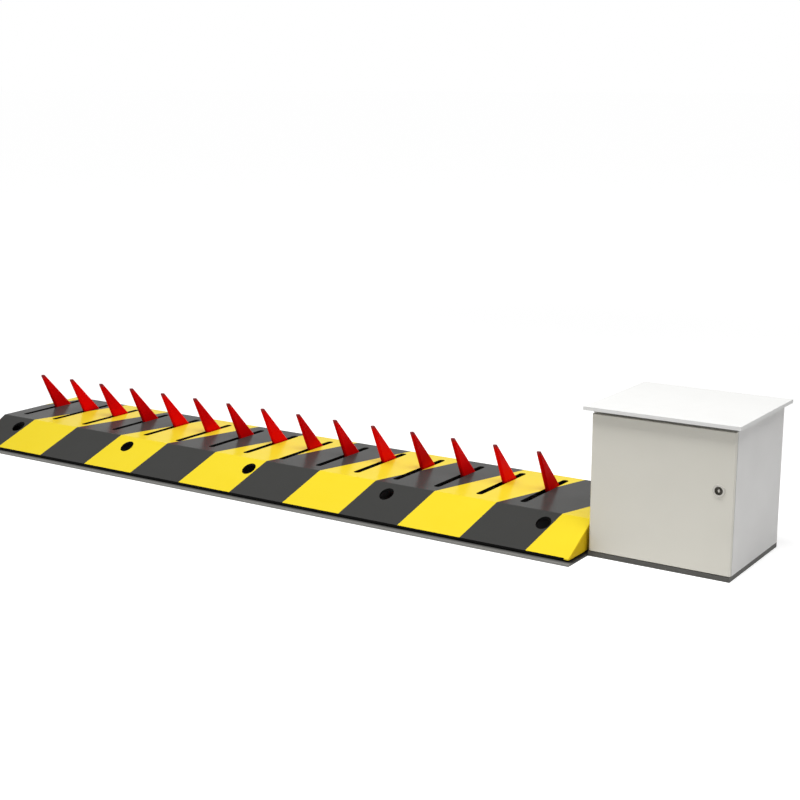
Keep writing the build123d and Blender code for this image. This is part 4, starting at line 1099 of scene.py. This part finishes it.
@dataclass
class Valves(SubAssembly):
    """Valve block with its solenoid valve.

    Attributes:
        plug_mm: thread of the plugs in the block's spare ports.
        plug_step_mm: their distance from the block's middle.
        body_mm: side of the solenoid valve's square body.
        body_screw_mm: thread of the screws through it.
        body_screw_step_mm: their distance from the body's middle, along and across.
        connector_mm: width, depth and height of the coil's connector.
        connector_sink_mm: how deep it stands in the coil.
        connector_screw_mm: thread of its screw.
    """

    plug_mm: float = 10.0
    plug_step_mm: float = 22.0
    body_mm: float = 46.0
    body_screw_mm: float = 5.0
    body_screw_step_mm: float = 16.0
    connector_mm: Point = (28.0, 28.0, 24.0)
    connector_sink_mm: float = 2.0
    connector_screw_mm: float = 4.0

    def build(self) -> None:
        """Dress block and valve and fit plugs, screws and connector."""
        dress(VALVE_ALUMINIUM, "valve_block")
        dress(COIL_PLASTIC, "solenoid_valve")
        self.plug_ports()
        self.screw_valve()
        self.connect_coil()

    def plug_ports(self) -> None:
        """Plug the block's spare ports."""
        middle, side = middle_of("valve_block"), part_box("valve_block")[1].x
        places = [(side, middle.y + a * self.plug_step_mm * MM, middle.z) for a in (-1, 1)]
        add_piece("port_plugs", heads(places, ALONG_X, self.plug_mm, Head.SOCKET))

    def screw_valve(self) -> None:
        """Screw the solenoid valve's body down."""
        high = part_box("solenoid_valve")[1]
        across, along = middle_of("solenoid_valve").x, high.y - self.body_mm / 2 * MM
        step = self.body_screw_step_mm * MM
        places = [(across + a * step, along + b * step, high.z) for a, b in CORNERS]
        add_piece("valve_screws", heads(places, UP, self.body_screw_mm, Head.SOCKET))

    def connect_coil(self) -> None:
        """Fit a screwed connector on top of the coil, which lies in front of the valve's body."""
        width, depth, height = (value * MM for value in self.connector_mm)
        coil = middle_of("solenoid_valve")
        coil.y -= self.body_mm / 2 * MM
        top = max(point.z for point in points_of("solenoid_valve") if point.y < coil.y)
        foot = top - self.connector_sink_mm * MM
        near = (coil.x - width / 2, coil.y - depth / 2, foot)
        far = (coil.x + width / 2, coil.y + depth / 2, foot + height)
        add_piece("coil_connector", boxed(near, far, bevel_mm=2.5), KNOB_PLASTIC)
        screw = heads([(coil.x, coil.y, foot + height)], UP, self.connector_screw_mm, Head.SOCKET)
        add_piece("connector_screw", screw)


@dataclass
class Gauge(SubAssembly):
    """Pressure gauge with its dial, needle and glass.

    Attributes:
        recess_mm: depth of the dial's seat below the rim.
        dial_mm: radius and thickness of the dial.
        mark_count: marks on the dial.
        long_every: every so many marks one is long.
        sweep_deg: angle from the first to the last mark.
        mark_lift_mm: height of the middle of marks and needle above the dial's seat.
        long_mark_mm: width, thickness and length of a long mark.
        short_mark_mm: width, thickness and length of a short mark.
        mark_rim_mm: distance from the dial's edge to the outer ends of the marks.
        needle_mm: width and thickness of the needle, which is as long as the dial's radius.
        needle_offset: distance of its middle from the hub, as a share of the dial's radius.
        reading: share of the sweep that the needle shows.
        hub: radius and height of the hub's steps, in millimetres.
        glass_mm: heights of the glass's two faces above the dial's seat.
        sides: flats that make up the round of dial and glass.
    """

    recess_mm: float = 4.0
    dial_mm: tuple[float, float] = (27.8, 0.6)
    mark_count: int = 21
    long_every: int = 5
    sweep_deg: float = 270.0
    mark_lift_mm: float = 0.8
    long_mark_mm: Point = (1.0, 0.4, 7.0)
    short_mark_mm: Point = (0.6, 0.4, 4.0)
    mark_rim_mm: float = 1.5
    needle_mm: tuple[float, float] = (1.2, 0.5)
    needle_offset: float = 0.32
    reading: float = 0.0
    hub: Profile = ((3.0, 0.4), (3.0, 2.0), (2.4, 2.4))
    glass_mm: tuple[float, float] = (2.7, 3.7)
    sides: int = 40

    def build(self) -> None:
        """Dress the case and fit the dial, its marks and the glass."""
        dress(GAUGE_STEEL, "pressure_gauge")
        seat = middle_of("pressure_gauge")
        seat.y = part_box("pressure_gauge")[0].y + self.recess_mm * MM
        radius, thickness = self.dial_mm
        dial = turned([seat], TO_DOOR, [(radius, -SINK_MM), (radius, thickness)], self.sides)
        add_piece("gauge_dial", dial, DIAL_WHITE)
        shares = [k / (self.mark_count - 1) for k in range(self.mark_count)]
        marks = []
        for size_mm, step in ((self.long_mark_mm, self.long_every), (self.short_mark_mm, 1)):
            middle_mm = radius - self.mark_rim_mm - size_mm[2] / 2
            stands = [self.stand(seat, share, middle_mm) for share in shares[::step]]
            marks.append(boxes(stands, size_mm, bevel_mm=0.05))
        needle_stand = self.stand(seat, self.reading, radius * self.needle_offset)
        needle = boxes([needle_stand], (*self.needle_mm, radius), bevel_mm=0.1)
        hub = turned([seat], TO_DOOR, self.hub)
        add_piece("gauge_marks", joined(*marks, needle, hub), DIAL_BLACK)
        glass = turned([seat], TO_DOOR, [(radius, height) for height in self.glass_mm], self.sides)
        add_piece("gauge_glass", glass, GAUGE_GLASS)

    def stand(self, seat: Vector, share: float, radius_mm: float) -> Matrix:
        """Place a mark on the dial.

        Args:
            seat: the middle of the dial's seat.
            share: where the mark lies along the sweep, from 0 to 1.
            radius_mm: distance of the mark's middle from the dial's.

        Returns:
            The mark's place and turn.
        """
        lift = Matrix.Translation(Vector(TO_DOOR) * self.mark_lift_mm * MM)
        turn = math.radians(-self.sweep_deg / 2 + self.sweep_deg * share)
        out = Matrix.Translation((0, 0, radius_mm * MM))
        return Matrix.Translation(seat) @ lift @ Matrix.Rotation(turn, 4, "Y") @ out


@dataclass
class ReleaseKnob(SubAssembly):
    """Hand knob of the lowering valve.

    Attributes:
        mark_mm: width, thickness and length of the white mark on its side.
        mark_down_mm: depth of the mark's middle below the knob's top.
    """

    mark_mm: Point = (1.6, 0.5, 8.0)
    mark_down_mm: float = 7.0

    def build(self) -> None:
        """Dress the knob and mark it, so that its turn shows."""
        dress(KNOB_PLASTIC, "release_knob")
        low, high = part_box("release_knob")
        middle = ((low.x + high.x) / 2, low.y, high.z - self.mark_down_mm * MM)
        mark = boxes([Matrix.Translation(middle)], self.mark_mm, bevel_mm=0.1)
        add_piece("knob_mark", mark, DIAL_WHITE, "knob")


@dataclass
class ControlBox(SubAssembly):
    """Control box on the cabinet's back wall.

    Attributes:
        lid_screw_mm: thread of the lid screws.
        lid_inset_mm: their distance from the lid's edges.
    """

    lid_screw_mm: float = 5.0
    lid_inset_mm: float = 12.0

    def build(self) -> None:
        """Dress the box and screw its lid."""
        dress(BOX_PLASTIC, "control_box")
        low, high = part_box("control_box")
        foot, inset = front_span("control_box")[0], self.lid_inset_mm * MM
        spots = product((low.x + inset, high.x - inset), (foot + inset, high.z - inset))
        screws = heads([(x, low.y, z) for x, z in spots], TO_DOOR, self.lid_screw_mm, Head.SOCKET)
        add_piece("box_screws", screws)


# Studio


@dataclass(frozen=True)
class Lamp:
    """One soft box.

    Attributes:
        name: what it does.
        place: where it hangs, in metres.
        aim: the point that it faces.
        size: width and depth of its face in metres.
        power: watts.
    """

    name: str
    place: Point
    aim: Point
    size: tuple[float, float]
    power: float

    def hang(self) -> None:
        """Add the lamp to the scene."""
        light = bpy.data.lights.new(self.name, "AREA")
        light.shape = "RECTANGLE"
        light.size, light.size_y = self.size
        light.energy = self.power
        lamp = bpy.data.objects.new(self.name, light)
        lamp.location = self.place
        lamp.rotation_mode = "QUATERNION"
        lamp.rotation_quaternion = (Vector(self.aim) - Vector(self.place)).to_track_quat("-Z", "Y")
        bpy.context.scene.collection.objects.link(lamp)


OVERHEAD_BOX = Lamp("overhead_box", (0.8, -1.5, 5.6), (0.8, -0.9, 0.0), size=(8.0, 2.4), power=372.0)


@dataclass
class Studio:
    """White floor, white surround, one soft lamp and the camera.

    Attributes:
        lamp: the soft box overhead.
        floor_side: side of the floor in metres.
        floor_white: sRGB hex of the floor.
        floor_lift: light that the floor adds for rays that show it, near the object and far from it.
        lift_reach: distances in metres between which that light rises.
        room_white: sRGB hex of the surround.
        room_light: strength of the surround's even light on the object.
        camera_place: the camera's place in metres.
        camera_yaw: turn of the view from +Y towards -X, in degrees.
        camera_pitch: downward tilt of the view in degrees.
        lens_mm: focal length.
        sensor_mm: width of the sensor.
    """

    lamp: Lamp = OVERHEAD_BOX
    floor_side: float = 400.0
    floor_white: str = "#F4F4F4"
    floor_lift: tuple[float, float] = (0.5, 0.85)
    lift_reach: tuple[float, float] = (2.5, 8.0)
    room_white: str = "#FFFFFF"
    room_light: float = 0.16
    camera_place: Point = (3.6125, -5.048, 1.741)
    camera_yaw: float = 33.41
    camera_pitch: float = 12.35
    lens_mm: float = 65.68
    sensor_mm: float = 36.0

    def build(self) -> None:
        """Set up everything round the object."""
        bpy.context.scene.view_settings.view_transform = "Standard"
        self.lay_floor()
        self.light_room()
        self.lamp.hang()
        self.set_camera()

    def shown_rays(self, tree: Tree) -> Socket:
        """Make a mask that is 1 for rays by which the background is seen.

        Args:
            tree: the node tree that gets the mask.

        Returns:
            The mask socket.
        """
        rays = add_node(tree, "LightPath")
        seen = rays["Is Camera Ray"]
        for other in ("Is Glossy Ray", "Is Transmission Ray"):
            seen = add_node(tree, "Math", {0: seen, 1: rays[other]}, operation="MAXIMUM")[0]
        return seen

    def lay_floor(self) -> None:
        """Lay the floor, which keeps the object's shadow."""
        shape = bmesh.new()
        bmesh.ops.create_grid(shape, x_segments=1, y_segments=1, size=self.floor_side / 2)
        floor = bpy.data.objects.new("floor", finished_mesh(shape, smooth=False))
        material = bpy.data.materials.new("matt_white_floor")
        tree = emptied_tree(material)
        matt = add_node(tree, "BsdfDiffuse", {"Color": linear(self.floor_white)})[0]
        place = add_node(tree, "TexCoord")["Object"]
        away = add_node(tree, "VectorMath", {0: place}, operation="LENGTH")["Value"]
        (near, far), (low, high) = self.lift_reach, self.floor_lift
        inputs = {"Value": away, "From Min": near, "From Max": far, "To Min": low, "To Max": high}
        rise = add_node(tree, "MapRange", inputs)[0]
        inputs = {0: self.shown_rays(tree), 1: rise}
        strength = add_node(tree, "Math", inputs, operation="MULTIPLY")[0]
        lift = add_node(tree, "Emission", {"Strength": strength})[0]
        both = add_node(tree, "AddShader", {0: matt, 1: lift})[0]
        add_node(tree, "OutputMaterial", {"Surface": both})
        floor.data.materials.append(material)
        bpy.context.scene.collection.objects.link(floor)

    def light_room(self) -> None:
        """Surround the object with even light."""
        world = bpy.data.worlds.new("white_room")
        bpy.context.scene.world = world
        tree = emptied_tree(world)
        inputs = {"Value": self.shown_rays(tree), "To Min": self.room_light, "To Max": 1.0}
        strength = add_node(tree, "MapRange", inputs)[0]
        inputs = {"Color": linear(self.room_white), "Strength": strength}
        glow = add_node(tree, "Background", inputs)[0]
        add_node(tree, "OutputWorld", {"Surface": glow})

    def set_camera(self) -> None:
        """Place the camera at the photograph's view."""
        data = bpy.data.cameras.new("camera")
        data.lens = self.lens_mm
        data.sensor_width = self.sensor_mm
        camera = bpy.data.objects.new("camera", data)
        camera.location = self.camera_place
        camera.rotation_euler = (math.radians(90 - self.camera_pitch), 0.0, math.radians(self.camera_yaw))
        bpy.context.scene.collection.objects.link(camera)
        bpy.context.scene.camera = camera


def write_sizes() -> None:
    """Bring the view layer up to date; no sizes are written."""
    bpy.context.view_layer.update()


def main() -> None:
    """Dress the barrier, fit its small parts and build the studio round it."""
    logging.basicConfig(level=logging.INFO, format="%(name)s: %(message)s")
    groups: list[SubAssembly] = [
        RoadHousing(),
        SpikeRow(),
        DriveCabinet(),
        Cylinder(),
        Tank(),
        Motor(),
        Valves(),
        Gauge(),
        ReleaseKnob(),
        ControlBox(),
    ]
    for group in groups:
        group.build()
    Studio().build()
    write_sizes()


if __name__ == "__main__":
    main()
